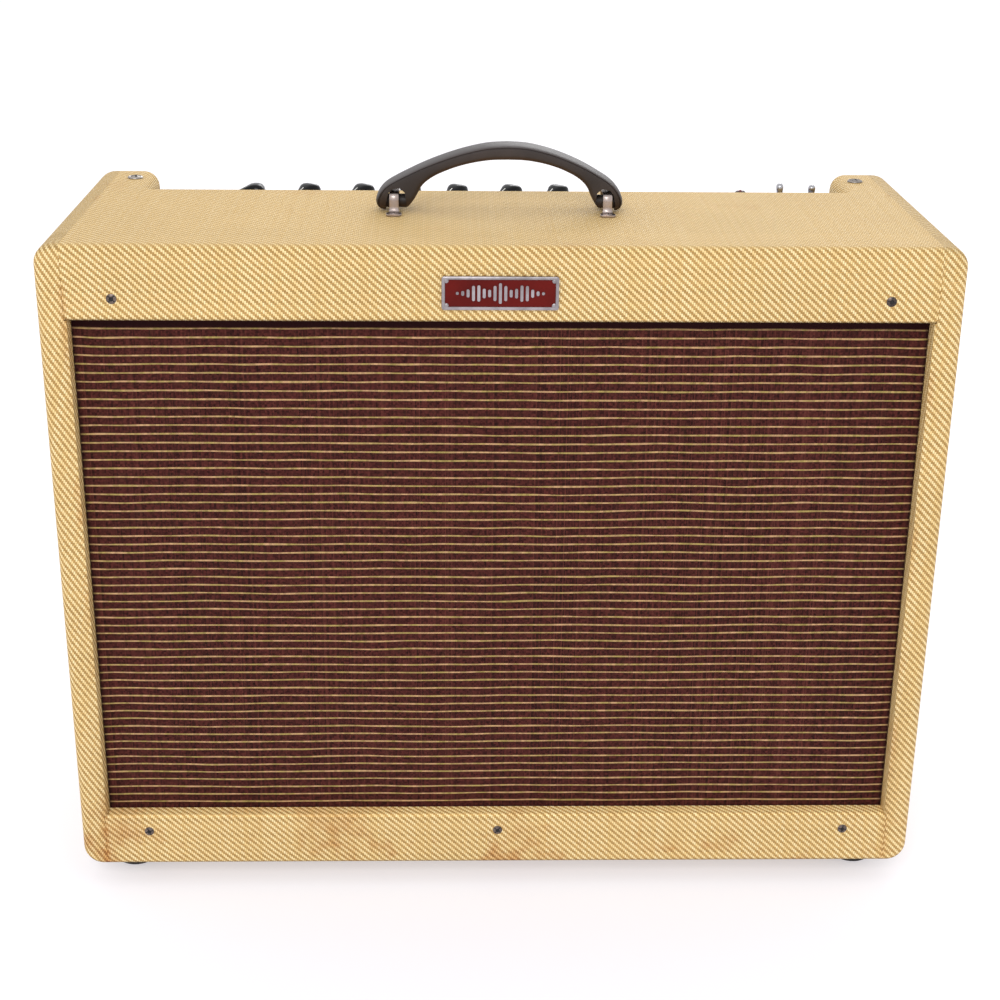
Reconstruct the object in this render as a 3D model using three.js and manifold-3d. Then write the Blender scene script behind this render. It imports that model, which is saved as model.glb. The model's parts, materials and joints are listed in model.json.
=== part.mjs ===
// A 1x12 open-back guitar combo amplifier: a cloth-covered box of boards with a baffle and speaker
// in front, and a steel chassis with valves, transformers and a top-facing control panel behind.
// Millimetres, +Z up. Inside the cabinet group, x is centred, y is the depth behind the front face
// and z is the height above the underside of the cabinet. The front faces -Y.
import * as THREE from "three";
import { mergeVertices } from "three/addons/utils/BufferGeometryUtils.js";
import Module from "manifold-3d";

const wasm = await Module();
wasm.setup();

// ---------------------------------------------------------------- driving dimensions
const WIDTH = 597;
const HEIGHT = 457;
const DEPTH_TOP = 235;
const DEPTH_BOTTOM = 267;
const BOARD = 19;
const CORNER_RADIUS = 14;
const FRONT_EDGE_RADIUS = 7;
const GAP = 0.3;
const HALF_INNER = WIDTH / 2 - BOARD;
const INSIDE_TOP = HEIGHT - BOARD;

const FOOT = { radius: 17, height: 19.25, x: 268, yFront: 43, yRear: 238 };
const FRONT_PROUD = 2.2; // how far the badge stands out in front

const TOP_RAIL_BOTTOM = 407.6;
const BOTTOM_RAIL_TOP = 40.4;
const RAIL_DEPTH = 11.7;
const CLOTH = { y0: 12, y1: 12.9 };
const BAFFLE = { y0: 13.2, y1: 31.2 };
const BAFFLE_SCREWS = [[-250, 421.7], [250, 421.7], [-250, 27.9], [0, 27.9], [250, 27.9]];
const SCREW_SHANK = 2;

const WELL = { halfWidth: 251.5, y: 172 }; // the cut-out of the top board over the control panel
const EAR_SCREW = { x: 266, y: 208, head: 5.6, shank: 2.5 };

const PANEL = 1.8; // chassis steel
const PANEL_TOP = INSIDE_TOP - GAP;
const CHASSIS = { half: 252.5, flangeHalf: 276, y0: 131, y1: 224, lip: 233.8, z0: 366 };

const CONTROL_Y = 208;
const BOARD_TOP = 420.2; // component side of the control circuit board
const KNOB_WIDE = 40;
const KNOB_NARROW = 34.7;
const KNOB_STEPS = [0, KNOB_WIDE, KNOB_WIDE, KNOB_NARROW, KNOB_NARROW, KNOB_WIDE, KNOB_NARROW, KNOB_NARROW];
const KNOB_FIRST_X = -179.8;
const KNOB_POINTS_TO = [182, 232, 228, 240, 236, 226, 232, 244]; // degrees from +X, seen from above
const KNOB = { skirt: 9.7, z0: 438.7, skirtTop: 444.4, top: 452.9, tip: 16.5, shaft: 3, hollow: 7.4 };
const BUSHING_HEIGHT = 4.6; // above the panel
const JACKS = { input_jack_1: -241, input_jack_2: -222, footswitch_jack: 135 };
const JACK = { bore: 3.3, barrel: 5.6, nut: 7.4, body: 16 };
const BUTTONS = { bright_button: -203, channel_button: 108 };
const BUTTON = { radius: 3.1, z0: 432, z1: 443.5 };
const PILOT_X = 181.5;
const TOGGLES = { standby_toggle: 211.2, power_toggle: 234.2 };
const TOGGLE = { pivotZ: 440.8, length: 12.9, ball: 2.6, stem: 1.5, tilt: 13, bore: 3.7, barrel: 5.2 };

const HANDLE = {
  y: 103, halfDepth: 11, footX: 72.5, pivotZ: 463.7, barRadius: 4.6, reliefRadius: 13.6,
  slot: [-5.6, 8.4], outerTop: 504.2, outerRadius: 109.5, innerTop: 493.4, innerRadius: 102.7,
};
const STRAP = { width: 6.3, thick: 1.8, top: 470.4, halfDepth: 12.9, flange: 9 };

const SPEAKER = { z: 203, hole: 141, rim: 154.5 };
const SLOPE = Math.atan((DEPTH_BOTTOM - DEPTH_TOP) / HEIGHT);

// ---------------------------------------------------------------- solids
function solid(geometry) {
  const bare = geometry.clone();
  bare.deleteAttribute("normal");
  bare.deleteAttribute("uv");
  const merged = mergeVertices(bare, 1e-4);
  const vertProperties = merged.attributes.position.array;
  const triVerts = new Uint32Array(merged.index.array);
  return new wasm.Manifold(new wasm.Mesh({ numProp: 3, vertProperties, triVerts }));
}

function toGeometry(manifold) {
  const made = manifold.getMesh();
  const geometry = new THREE.BufferGeometry();
  geometry.setAttribute("position", new THREE.BufferAttribute(new Float32Array(made.vertProperties), 3));
  geometry.setIndex(new THREE.BufferAttribute(new Uint32Array(made.triVerts), 1));
  geometry.computeVertexNormals();
  return geometry;
}

const join = (first, ...rest) => rest.reduce((sum, piece) => sum.add(piece), first);
const cut = (first, ...rest) => rest.reduce((left, piece) => left.subtract(piece), first);

function box(x0, x1, y0, y1, z0, z1) {
  const geometry = new THREE.BoxGeometry(x1 - x0, y1 - y0, z1 - z0);
  return solid(geometry.translate((x0 + x1) / 2, (y0 + y1) / 2, (z0 + z1) / 2));
}

const outline = (points) => new THREE.Shape(points.map(([a, b]) => new THREE.Vector2(a, b)));

// An outline drawn in (y, z), between two x positions.
function prismX(shape, x0, x1) {
  const options = { depth: x1 - x0, curveSegments: 4, bevelEnabled: false };
  const geometry = new THREE.ExtrudeGeometry(shape, options);
  const axes = new THREE.Matrix4().makeBasis(
    new THREE.Vector3(0, 1, 0), new THREE.Vector3(0, 0, 1), new THREE.Vector3(1, 0, 0));
  return solid(geometry.applyMatrix4(axes).translate(x0, 0, 0));
}

// An outline drawn in (x, z), between two y positions; options can add a bevel.
function prismY(shape, y0, y1, options = { bevelEnabled: false }) {
  const geometry = new THREE.ExtrudeGeometry(shape, { depth: y1 - y0, curveSegments: 8, ...options });
  return solid(geometry.rotateX(Math.PI / 2).translate(0, y1, 0));
}

// An outline drawn in (x, y), between two heights.
function prismZ(shape, z0, z1, curveSegments = 6) {
  const geometry = new THREE.ExtrudeGeometry(shape, { depth: z1 - z0, curveSegments, bevelEnabled: false });
  return solid(geometry.translate(0, 0, z0));
}

// A round solid about a vertical axis, from [radius, height] pairs that go up the outside.
function turned(profile, segments = 18) {
  const points = profile.map(([r, z]) => new THREE.Vector2(r, z));
  return solid(new THREE.LatheGeometry(points, segments).rotateX(Math.PI / 2));
}

// The same solid about an axis along y: a height becomes a depth behind the front face.
const turnedY = (profile, segments) => turned(profile.map(([r, y]) => [r, -y]).reverse(), segments)
  .rotate([90, 0, 0]);

const rodProfile = (radius, from, to) => [[0, from], [radius, from], [radius, to], [0, to]];
const rod = (radius, z0, z1, segments = 10) => turned(rodProfile(radius, z0, z1), segments);
const rodY = (radius, y0, y1, segments = 8) => turnedY(rodProfile(radius, y0, y1), segments);
const FLAT_ENDS = { bevelEnabled: false, curveSegments: 3 };

function roundedRectangle(x0, x1, y0, y1, r) {
  const shape = new THREE.Shape();
  shape.moveTo(x0 + r, y0).lineTo(x1 - r, y0);
  shape.absarc(x1 - r, y0 + r, r, -Math.PI / 2, 0);
  shape.absarc(x1 - r, y1 - r, r, 0, Math.PI / 2);
  shape.absarc(x0 + r, y1 - r, r, Math.PI / 2, Math.PI);
  shape.absarc(x0 + r, y0 + r, r, Math.PI, 1.5 * Math.PI);
  return shape;
}

// ---------------------------------------------------------------- the scene graph
const material = (color, roughness, metalness = 0) =>
  new THREE.MeshStandardMaterial({ color, roughness, metalness });

const FINISH = {
  tweed: () => material(0xdcc184, 0.85),
  board: () => material(0xc9a46c, 0.7),
  cloth: () => material(0x6b4133, 0.9),
  chrome: () => material(0xd8d8d8, 0.15, 1),
  steel: () => material(0xa9abad, 0.35, 1),
  darkSteel: () => material(0x4a4643, 0.45, 1),
  enamel: () => material(0x6a1e20, 0.35, 0.3),
  handle: () => material(0x4c3b36, 0.5),
  bakelite: () => material(0x18171a, 0.3),
  jewel: () => material(0xc22a1e, 0.15),
  circuit: () => material(0x8a7a3c, 0.6),
  glass: () => material(0xdfe6e8, 0.05),
  paper: () => material(0x2b2826, 0.95),
  rubber: () => material(0x1b1a19, 0.85),
  lamination: () => material(0x33302e, 0.5, 0.6),
  ferrite: () => material(0x1f1e1d, 0.6),
};

const amplifier = new THREE.Group();
const cabinet = new THREE.Group();
cabinet.position.set(0, -(DEPTH_BOTTOM - FRONT_PROUD) / 2, FOOT.height);
amplifier.add(cabinet);

function add(name, manifold, finish, position = [0, 0, 0], turn = 0) {
  const mesh = new THREE.Mesh(toGeometry(manifold), finish());
  mesh.name = name;
  mesh.position.set(...position);
  mesh.rotation.z = turn;
  cabinet.add(mesh);
  return mesh;
}

// ---------------------------------------------------------------- cabinet
const rearAt = (z) => DEPTH_BOTTOM - z * Math.tan(SLOPE);

function envelope() {
  const face = roundedRectangle(-WIDTH / 2, WIDTH / 2, 0, HEIGHT, CORNER_RADIUS);
  const block = prismY(face, FRONT_EDGE_RADIUS, DEPTH_BOTTOM + 20, {
    bevelThickness: FRONT_EDGE_RADIUS, bevelSize: FRONT_EDGE_RADIUS, bevelOffset: -FRONT_EDGE_RADIUS,
    bevelSegments: 3, curveSegments: 4,
  });
  const behind = outline([
    [rearAt(-1), -1], [DEPTH_BOTTOM + 60, -1],
    [DEPTH_BOTTOM + 60, HEIGHT + 1], [rearAt(HEIGHT + 1), HEIGHT + 1],
  ]);
  return cut(block, prismX(behind, -WIDTH, WIDTH));
}

const whole = envelope();
const slab = (x0, x1, y0, y1, z0, z1) => whole.intersect(box(x0, x1, y0, y1, z0, z1));
const inner = HALF_INNER - GAP;
const past = 20; // how far a cutting solid runs past the outside

add("side_left", slab(-WIDTH / 2 - past, -HALF_INNER, -past, 400, -past, HEIGHT + past), FINISH.tweed);
add("side_right", slab(HALF_INNER, WIDTH / 2 + past, -past, 400, -past, HEIGHT + past), FINISH.tweed);
add("bottom_board", slab(-inner, inner, -past, 400, -past, BOARD), FINISH.tweed);

const earHoles = [-1, 1].map((side) =>
  rod(EAR_SCREW.shank + GAP, PANEL_TOP - 10, HEIGHT + past).translate([side * EAR_SCREW.x, EAR_SCREW.y, 0]));
add("top_board", cut(
  slab(-inner, inner, -past, 400, INSIDE_TOP, HEIGHT + past),
  box(-WELL.halfWidth, WELL.halfWidth, WELL.y, 400, INSIDE_TOP - past, HEIGHT + past),
  ...earHoles,
), FINISH.tweed);

const screwHoles = BAFFLE_SCREWS.map(([x, z]) =>
  rodY(SCREW_SHANK + GAP, -past, BAFFLE.y1 + past).translate([x, 0, z]));
add("front_top_rail", cut(
  slab(-inner, inner, -past, RAIL_DEPTH, TOP_RAIL_BOTTOM, PANEL_TOP),
  ...screwHoles.slice(0, 2),
), FINISH.tweed);
add("front_bottom_rail", cut(
  slab(-inner, inner, -past, RAIL_DEPTH, BOARD + GAP, BOTTOM_RAIL_TOP),
  ...screwHoles.slice(2),
), FINISH.tweed);

const baffleHeight = [BOARD + GAP, PANEL_TOP];
add("grille_cloth", cut(
  box(-inner, inner, CLOTH.y0, CLOTH.y1, ...baffleHeight), ...screwHoles), FINISH.cloth);
add("baffle_board", cut(
  box(-inner, inner, BAFFLE.y0, BAFFLE.y1, ...baffleHeight), ...screwHoles,
  rodY(SPEAKER.hole, 0, 60, 40).translate([0, 0, SPEAKER.z])), FINISH.board);

const baffleScrew = turnedY(
  [[0, -1.9], [1.9, -1.6], [3.5, -0.7], [3.5, -GAP], [SCREW_SHANK, -GAP], [SCREW_SHANK, 26], [0, 28]], 8);
BAFFLE_SCREWS.forEach(([x, z], i) => add(`baffle_screw_${i + 1}`, baffleScrew, FINISH.darkSteel, [x, 0, z]));

// A shallow tray, whose raised rim frames the enamelled field.
const BADGE = { halfWidth: 37.5, halfHeight: 11, z: 426.7, thick: 1.9, rim: 2 };
add("badge_plate", cut(
  prismY(roundedRectangle(-BADGE.halfWidth, BADGE.halfWidth, -BADGE.halfHeight, BADGE.halfHeight, 2),
    -BADGE.thick, 0, FLAT_ENDS),
  prismY(roundedRectangle(-BADGE.halfWidth + BADGE.rim, BADGE.halfWidth - BADGE.rim,
    -BADGE.halfHeight + BADGE.rim, BADGE.halfHeight - BADGE.rim, 1), -past, 0.7 - BADGE.thick, FLAT_ENDS),
), FINISH.enamel, [0, -GAP, BADGE.z]);

// ---------------------------------------------------------------- feet
const footProfile = [
  [0, -9], [5, -9], [5, -FOOT.height], [FOOT.radius - 3.5, -FOOT.height],
  [FOOT.radius - 2, -FOOT.height + 1.5], [FOOT.radius, -GAP], [0, -GAP],
];
const foot = turned(footProfile);
for (const [end, y] of [["front", FOOT.yFront], ["rear", FOOT.yRear]])
  for (const [side, sign] of [["left", -1], ["right", 1]])
    add(`foot_${end}_${side}`, foot, FINISH.rubber, [sign * FOOT.x, y, 0]);

// ---------------------------------------------------------------- handle and its brackets
// The outer and inner edges of the grip are arcs about points below it; each end turns down into a
// foot whose cross bar lies under a steel strap.
function handleOutline() {
  const { outerTop, outerRadius, innerTop, innerRadius } = HANDLE;
  const arc = (top, radius, x) => top - radius + Math.sqrt(radius * radius - x * x);
  const shape = new THREE.Shape();
  const outerX = 60;
  const innerX = 50;
  shape.moveTo(-outerX, arc(outerTop, outerRadius, outerX));
  shape.bezierCurveTo(-70, 481.5, -84.6, 476, -84.6, 467);
  shape.bezierCurveTo(-84.6, 460, -79, 457.7, -73, 457.7);
  shape.bezierCurveTo(-65, 457.7, -60.5, 463.5, -58.6, 470.5);
  shape.quadraticCurveTo(-57, 477, -innerX, arc(innerTop, innerRadius, innerX));
  const half = (radius, x) => Math.asin(x / radius);
  shape.absarc(0, innerTop - innerRadius, innerRadius,
    Math.PI / 2 + half(innerRadius, innerX), Math.PI / 2 - half(innerRadius, innerX), true);
  shape.quadraticCurveTo(57, 477, 58.6, 470.5);
  shape.bezierCurveTo(60.5, 463.5, 65, 457.7, 73, 457.7);
  shape.bezierCurveTo(79, 457.7, 84.6, 460, 84.6, 467);
  shape.bezierCurveTo(84.6, 476, 70, 481.5, outerX, arc(outerTop, outerRadius, outerX));
  shape.absarc(0, outerTop - outerRadius, outerRadius,
    Math.PI / 2 - half(outerRadius, outerX), Math.PI / 2 + half(outerRadius, outerX), false);
  return shape;
}

function handleGrip() {
  const { y, halfDepth, pivotZ, footX, barRadius, reliefRadius, slot } = HANDLE;
  const bevel = 3;
  const body = prismY(handleOutline(), y - halfDepth + bevel, y + halfDepth - bevel, {
    bevelThickness: bevel, bevelSize: 2, bevelOffset: -2, bevelSegments: 2, curveSegments: 5,
  });
  // Seen from the side, the feet narrow below the grip, so that it can tilt on the top board.
  const side = outline([
    [y - halfDepth, 520], [y - halfDepth, 470], [y - 10, 466.2], [y - 7.5, 461.7], [y - 4, 458.7], [y, 457.5],
    [y + 4, 458.7], [y + 7.5, 461.7], [y + 10, 466.2], [y + halfDepth, 470], [y + halfDepth, 520],
  ].reverse());
  const reliefs = [-1, 1].map((end) => {
    const [near, far] = slot;
    const from = Math.min(end * (footX - far), end * (footX - near));
    const to = Math.max(end * (footX - far), end * (footX - near));
    const around = rod(reliefRadius, from, to, 24);
    const bar = rod(barRadius, from - 1, to + 1, 12);
    return cut(around, bar).rotate([0, 90, 0]).translate([0, y, pivotZ]);
  });
  return cut(body.intersect(prismX(side, -100, 100)), ...reliefs);
}
add("handle_grip", handleGrip(), FINISH.handle);

// An inverted U of steel strap with a flange at each end.
function strapOutline() {
  const { thick, top, halfDepth, flange } = STRAP;
  const base = HEIGHT + GAP;
  const bend = 4.5;
  const shape = new THREE.Shape();
  shape.moveTo(-halfDepth - flange, base).lineTo(-halfDepth + thick, base);
  shape.lineTo(-halfDepth + thick, top - thick - bend);
  shape.quadraticCurveTo(-halfDepth + thick, top - thick, -halfDepth + thick + bend, top - thick);
  shape.lineTo(halfDepth - thick - bend, top - thick);
  shape.quadraticCurveTo(halfDepth - thick, top - thick, halfDepth - thick, top - thick - bend);
  shape.lineTo(halfDepth - thick, base).lineTo(halfDepth + flange, base);
  shape.lineTo(halfDepth + flange, base + thick).lineTo(halfDepth, base + thick);
  shape.lineTo(halfDepth, top - bend - 1);
  shape.quadraticCurveTo(halfDepth, top, halfDepth - bend - 1, top);
  shape.lineTo(-halfDepth + bend + 1, top);
  shape.quadraticCurveTo(-halfDepth, top, -halfDepth, top - bend - 1);
  shape.lineTo(-halfDepth, base + thick).lineTo(-halfDepth - flange, base + thick);
  return shape;
}
const strap = prismX(strapOutline(), -STRAP.width / 2, STRAP.width / 2);
add("handle_bracket_left", strap, FINISH.chrome, [-HANDLE.footX, HANDLE.y, 0]);
add("handle_bracket_right", strap, FINISH.chrome, [HANDLE.footX, HANDLE.y, 0]);

// ---------------------------------------------------------------- chassis
// A folded steel channel, open towards the baffle, whose lid is the control panel.
const knobX = [];
KNOB_STEPS.reduce((x, step) => knobX[knobX.push(x + step) - 1], KNOB_FIRST_X);
const MOUTH = { inlet: [124, 160, 13.6, 10.2] }; // x, y, half width and half depth of the mains inlet

const potHole = 4.7;
const panelHoles = [
  ...knobX.map((x) => [x, potHole]),
  ...Object.values(JACKS).map((x) => [x, JACK.barrel + 0.4]),
  ...Object.values(BUTTONS).map((x) => [x, BUTTON.radius + 0.4]),
  ...Object.values(TOGGLES).map((x) => [x, TOGGLE.barrel + 0.4]),
  [PILOT_X, 7.6],
].map(([x, r]) => rod(r, PANEL_TOP - 5, PANEL_TOP + 5).translate([x, CONTROL_Y, 0]));

const chassisShell = cut(
  join(
    box(-CHASSIS.half, CHASSIS.half, CHASSIS.y0, CHASSIS.y1, CHASSIS.z0, PANEL_TOP),
    box(-CHASSIS.half, CHASSIS.half, CHASSIS.y0, CHASSIS.lip, PANEL_TOP - PANEL, PANEL_TOP),
    box(-CHASSIS.flangeHalf, CHASSIS.flangeHalf, WELL.y + 4, CHASSIS.lip, PANEL_TOP - PANEL, PANEL_TOP),
  ),
  box(-CHASSIS.half + PANEL, CHASSIS.half - PANEL, CHASSIS.y0 - 1, CHASSIS.y1 - PANEL,
    CHASSIS.z0 + PANEL, PANEL_TOP - PANEL),
  ...panelHoles, ...earHoles,
  box(MOUTH.inlet[0] - MOUTH.inlet[2], MOUTH.inlet[0] + MOUTH.inlet[2], MOUTH.inlet[1] - MOUTH.inlet[3],
    MOUTH.inlet[1] + MOUTH.inlet[3], CHASSIS.z0 - 1, CHASSIS.z0 + PANEL + 1),
);
add("chassis", chassisShell, FINISH.steel);

// A cup washer and the oval head of the bolt that hangs the chassis from the top board.
const chassisScrew = turned([
  [0, PANEL_TOP - 9], [EAR_SCREW.shank, PANEL_TOP - 9], [EAR_SCREW.shank, HEIGHT + GAP],
  [EAR_SCREW.head, HEIGHT + GAP], [EAR_SCREW.head - 0.9, HEIGHT + 2.1], [3.4, HEIGHT + 2.3],
  [2, HEIGHT + 3.2], [0, HEIGHT + 3.5],
], 12);
add("chassis_screw_left", chassisScrew, FINISH.chrome, [-EAR_SCREW.x, EAR_SCREW.y, 0]);
add("chassis_screw_right", chassisScrew, FINISH.chrome, [EAR_SCREW.x, EAR_SCREW.y, 0]);

// ---------------------------------------------------------------- control circuit board
// One board carries the potentiometers, the two push switches and the two toggle switches. Its
// threaded bushings come up through the panel and their nuts hold the board to it.
const bushing = (outer, nut) => join(
  rod(outer, BOARD_TOP, PANEL_TOP + BUSHING_HEIGHT),
  rod(nut, PANEL_TOP + GAP, PANEL_TOP + GAP + 1.9, 6),
).translate([0, CONTROL_Y, 0]);
const switchBody = (half, top) =>
  box(-half, half, CONTROL_Y - 8, CONTROL_Y + 8, BOARD_TOP - 0.5, top);
const boreAt = (radius, depth, x) =>
  rod(radius, PANEL_TOP - depth, PANEL_TOP + past).translate([x, CONTROL_Y, 0]);

function controlBoard() {
  const underPanel = PANEL_TOP - PANEL - GAP;
  const toggleX = Object.values(TOGGLES);
  const pot = join(switchBody(8, underPanel), bushing(4.3, 6.4));
  const toggle = join(switchBody(6.3, underPanel), bushing(TOGGLE.barrel, 7));
  const pushSwitch = switchBody(5, BUTTON.z0 - 4);
  return cut(
    join(
      box(-246, 246, CONTROL_Y - 30, CONTROL_Y + 11, BOARD_TOP - 1.6, BOARD_TOP),
      ...knobX.map((x) => pot.translate([x, 0, 0])),
      ...toggleX.map((x) => toggle.translate([x, 0, 0])),
      ...Object.values(BUTTONS).map((x) => pushSwitch.translate([x, 0, 0])),
    ),
    ...knobX.map((x) => boreAt(KNOB.shaft + GAP, 8, x)),
    ...toggleX.map((x) => boreAt(TOGGLE.bore, 6, x)),
  );
}
add("control_board", controlBoard(), FINISH.circuit);

// ---------------------------------------------------------------- knobs
// A round skirt with a pointer grip across it, hollow below around the bushing and its nut.
function knobSolid() {
  const { skirt, z0, skirtTop, top, tip, shaft, hollow } = KNOB;
  const plan = new THREE.Shape();
  plan.moveTo(tip, -1.2).lineTo(tip, 1.2).lineTo(0, 6.2);
  plan.absarc(-2.2, 0, 6.4, Math.PI / 2, 1.5 * Math.PI);
  plan.lineTo(0, -6.2);
  const sideView = outline([
    [-10, z0 + 2], [tip + 1, z0 + 2], [tip + 1, skirtTop + 1.4], [2, top], [-4, top], [-9, skirtTop + 2],
  ]);
  const ridge = prismZ(plan, z0 + 2, top + 1, 5).intersect(
    prismY(sideView, -10, 10));
  const base = turned([
    [0, z0], [skirt, z0], [skirt - 0.2, z0 + 2], [skirt - 1.4, skirtTop], [0, skirtTop],
  ], 20);
  const under = rod(hollow, z0 - 1, PANEL_TOP + BUSHING_HEIGHT + 0.6, 12);
  return join(cut(join(base, ridge), under), rod(shaft, PANEL_TOP - 6, skirtTop));
}
const knob = knobSolid();
knobX.forEach((x, i) => add(`knob_${i + 1}`, knob, FINISH.bakelite, [x, CONTROL_Y, 0],
  THREE.MathUtils.degToRad(KNOB_POINTS_TO[i])));

// ---------------------------------------------------------------- jacks, buttons, lamp and toggles
const jack = cut(
  join(
    box(-JACK.body / 2, JACK.body / 2, -JACK.body / 2, JACK.body / 2,
      BOARD_TOP + GAP, PANEL_TOP - PANEL - GAP),
    rod(JACK.barrel, BOARD_TOP + 4, PANEL_TOP + 3.6, 12),
    rod(JACK.nut, PANEL_TOP + GAP, PANEL_TOP + GAP + 2.2, 6),
  ),
  rod(JACK.bore, BOARD_TOP + 2, PANEL_TOP + past, 12),
);
for (const [name, x] of Object.entries(JACKS)) add(name, jack, FINISH.steel, [x, CONTROL_Y, 0]);

const button = turned([
  [0, BUTTON.z0], [BUTTON.radius, BUTTON.z0], [BUTTON.radius, BUTTON.z1 - 1], [BUTTON.radius - 1, BUTTON.z1],
  [0, BUTTON.z1],
], 12);
for (const [name, x] of Object.entries(BUTTONS)) add(name, button, FINISH.bakelite, [x, CONTROL_Y, 0]);

add("pilot_bezel", turned([
  [0, BOARD_TOP + 1], [7.2, BOARD_TOP + 1], [7.2, PANEL_TOP + GAP], [9.6, PANEL_TOP + GAP],
  [9.2, PANEL_TOP + 2.6], [8, PANEL_TOP + 4.6], [6.4, PANEL_TOP + 4.6], [6.4, BOARD_TOP + 6],
  [0, BOARD_TOP + 6],
]), FINISH.chrome, [PILOT_X, CONTROL_Y, 0]);
add("pilot_jewel", turned([
  [0, BOARD_TOP + 6 + GAP], [6.1, BOARD_TOP + 6 + GAP], [6.1, PANEL_TOP + 5.6], [5.2, PANEL_TOP + 8],
  [3, PANEL_TOP + 10.8], [0, PANEL_TOP + 11.7],
], 12), FINISH.jewel, [PILOT_X, CONTROL_Y, 0]);

// A bat lever that leans back or forwards in its bushing, about an axis along x.
const bat = turned([
  [0, -4.5], [1.6, -3.8], [TOGGLE.stem, 0], [1.4, 3], [TOGGLE.ball, TOGGLE.length - 3.4],
  [TOGGLE.ball, TOGGLE.length - 1.6], [1.5, TOGGLE.length - 0.3], [0, TOGGLE.length],
], 10);
const lean = { standby_toggle: -TOGGLE.tilt, power_toggle: TOGGLE.tilt };
for (const [name, x] of Object.entries(TOGGLES))
  add(name, bat.rotate([lean[name], 0, 0]), FINISH.chrome, [x, CONTROL_Y, TOGGLE.pivotZ]);

// ---------------------------------------------------------------- under the chassis
const underChassis = CHASSIS.z0 - GAP;

function transformer(width, depth, height, coilHeight) {
  const core = box(-width / 2, width / 2, -depth * 0.19, depth * 0.19, -height, 0);
  const bell = prismY(roundedRectangle(-width / 2 + 4, width / 2 - 4, -height + (height - coilHeight) / 2,
    -(height - coilHeight) / 2, 9), -depth / 2, depth / 2, FLAT_ENDS);
  return join(core, bell);
}
add("power_transformer", transformer(95, 76, 74, 60), FINISH.lamination, [194, 176, underChassis]);
add("output_transformer", transformer(70, 58, 56, 44), FINISH.lamination, [65, 180, underChassis]);

const POWER_TUBES = [-68, -4];
const socket = cut(
  turned([[0, -9], [17, -9], [17, -3], [20.5, -3], [20.5, 0], [0, 0]]),
  rod(3.6, -20, -5, 8));
const powerTube = turned([
  [0, -113], [9, -111.5], [16, -105], [18.5, -96], [18.5, -58], [17.2, -40], [14.4, -31], [17, -31],
  [17, -9 - GAP], [0, -9 - GAP],
]);
POWER_TUBES.forEach((x, i) => {
  add(`power_tube_socket_${i + 1}`, socket, FINISH.bakelite, [x, 190, underChassis]);
  add(`power_tube_${i + 1}`, powerTube, FINISH.glass, [x, 190, underChassis]);
});

// Each small valve stands in a skirted socket under a pressed can.
const preampTube = turned([
  [0, -57], [4, -57], [4, -59], [8, -59], [11, -56], [11, -12], [12.6, -12], [12.6, -1.5], [15, -1.5],
  [15, 0], [0, 0],
], 12);
[-132, -178, -224].forEach((x, i) =>
  add(`preamp_tube_${i + 1}`, preampTube, FINISH.steel, [x, 190, underChassis]));

const [inletX, inletY, inletHalfX, inletHalfY] = MOUTH.inlet;
add("power_inlet", cut(
  join(
    box(-inletHalfX - 3, inletHalfX + 3, -inletHalfY - 3, inletHalfY + 3, underChassis - 2.6, underChassis),
    box(-inletHalfX + GAP, inletHalfX - GAP, -inletHalfY + GAP, inletHalfY - GAP, underChassis - 1, 392),
  ),
  box(-11.9, 11.9, -8.2, 8.2, underChassis - past, 383),
), FINISH.bakelite, [inletX, inletY, 0]);
add("fuse_cap", turned([
  [0, -12], [6.6, -12], [7.6, -11], [7.6, -4], [8.6, -4], [8.6, 0], [0, 0],
], 18), FINISH.bakelite, [inletX, 200, underChassis]);

// ---------------------------------------------------------------- speaker, on the back of the baffle
const speakerPart = (name, manifold, finish) => add(name, manifold, finish, [0, 0, SPEAKER.z]);

function basket() {
  const y0 = BAFFLE.y1 + GAP;
  const shell = turnedY([
    [36, 92], [36, 89.6], [60, 89.6], [140.6, 44], [142.6, y0], [SPEAKER.rim, y0], [SPEAKER.rim, y0 + 2.6],
    [145, y0 + 2.6], [143.4, 46.4], [61.6, 92], [36, 92],
  ], 32);
  const windowShape = new THREE.Shape();
  const [innerR, outerR, legHalf] = [68, 134, 11];
  const half = (r) => Math.PI / 8 - Math.asin(legHalf / r);
  windowShape.absarc(0, 0, outerR, -half(outerR), half(outerR));
  windowShape.absarc(0, 0, innerR, half(innerR), -half(innerR), true);
  const windows = Array.from({ length: 8 }, (_, i) =>
    prismY(windowShape, 38, 110, FLAT_ENDS).rotate([0, 22.5 + 45 * i, 0]));
  return cut(shell, ...windows);
}
speakerPart("speaker_basket", basket(), FINISH.steel);
speakerPart("speaker_magnet", turnedY([
  [0, 92 + GAP], [29.2, 92 + GAP], [29.2, 112], [34, 112], [34, 92 + GAP], [60, 92 + GAP], [60, 98], [70, 98],
  [70, 124], [63, 124], [60, 131], [0, 131],
], 24), FINISH.ferrite);
speakerPart("speaker_cone", turnedY([
  [30.9, 106], [30.9, 79], [139, 35.8], [139, 37], [32, 80.2], [32, 106], [30.9, 106],
], 32), FINISH.paper);
speakerPart("speaker_dust_cap", turnedY([
  [0, 62.5], [14, 64], [28, 69], [37.6, 75.4], [36.8, 76.2], [27, 70], [13.6, 65], [0, 63.5],
], 20), FINISH.paper);

// ---------------------------------------------------------------- reverb tank and back panels
// An inverted pan of thin steel, open towards the floor of the cabinet.
const PAN = { half: 215, y0: 138, y1: 248, height: 33, wall: 1.2 };
add("reverb_tank", cut(
  box(-PAN.half, PAN.half, PAN.y0, PAN.y1, BOARD + GAP, BOARD + GAP + PAN.height),
  box(-PAN.half + PAN.wall, PAN.half - PAN.wall, PAN.y0 + PAN.wall, PAN.y1 - PAN.wall,
    BOARD - 1, BOARD + GAP + PAN.height - PAN.wall),
), FINISH.steel);

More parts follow.
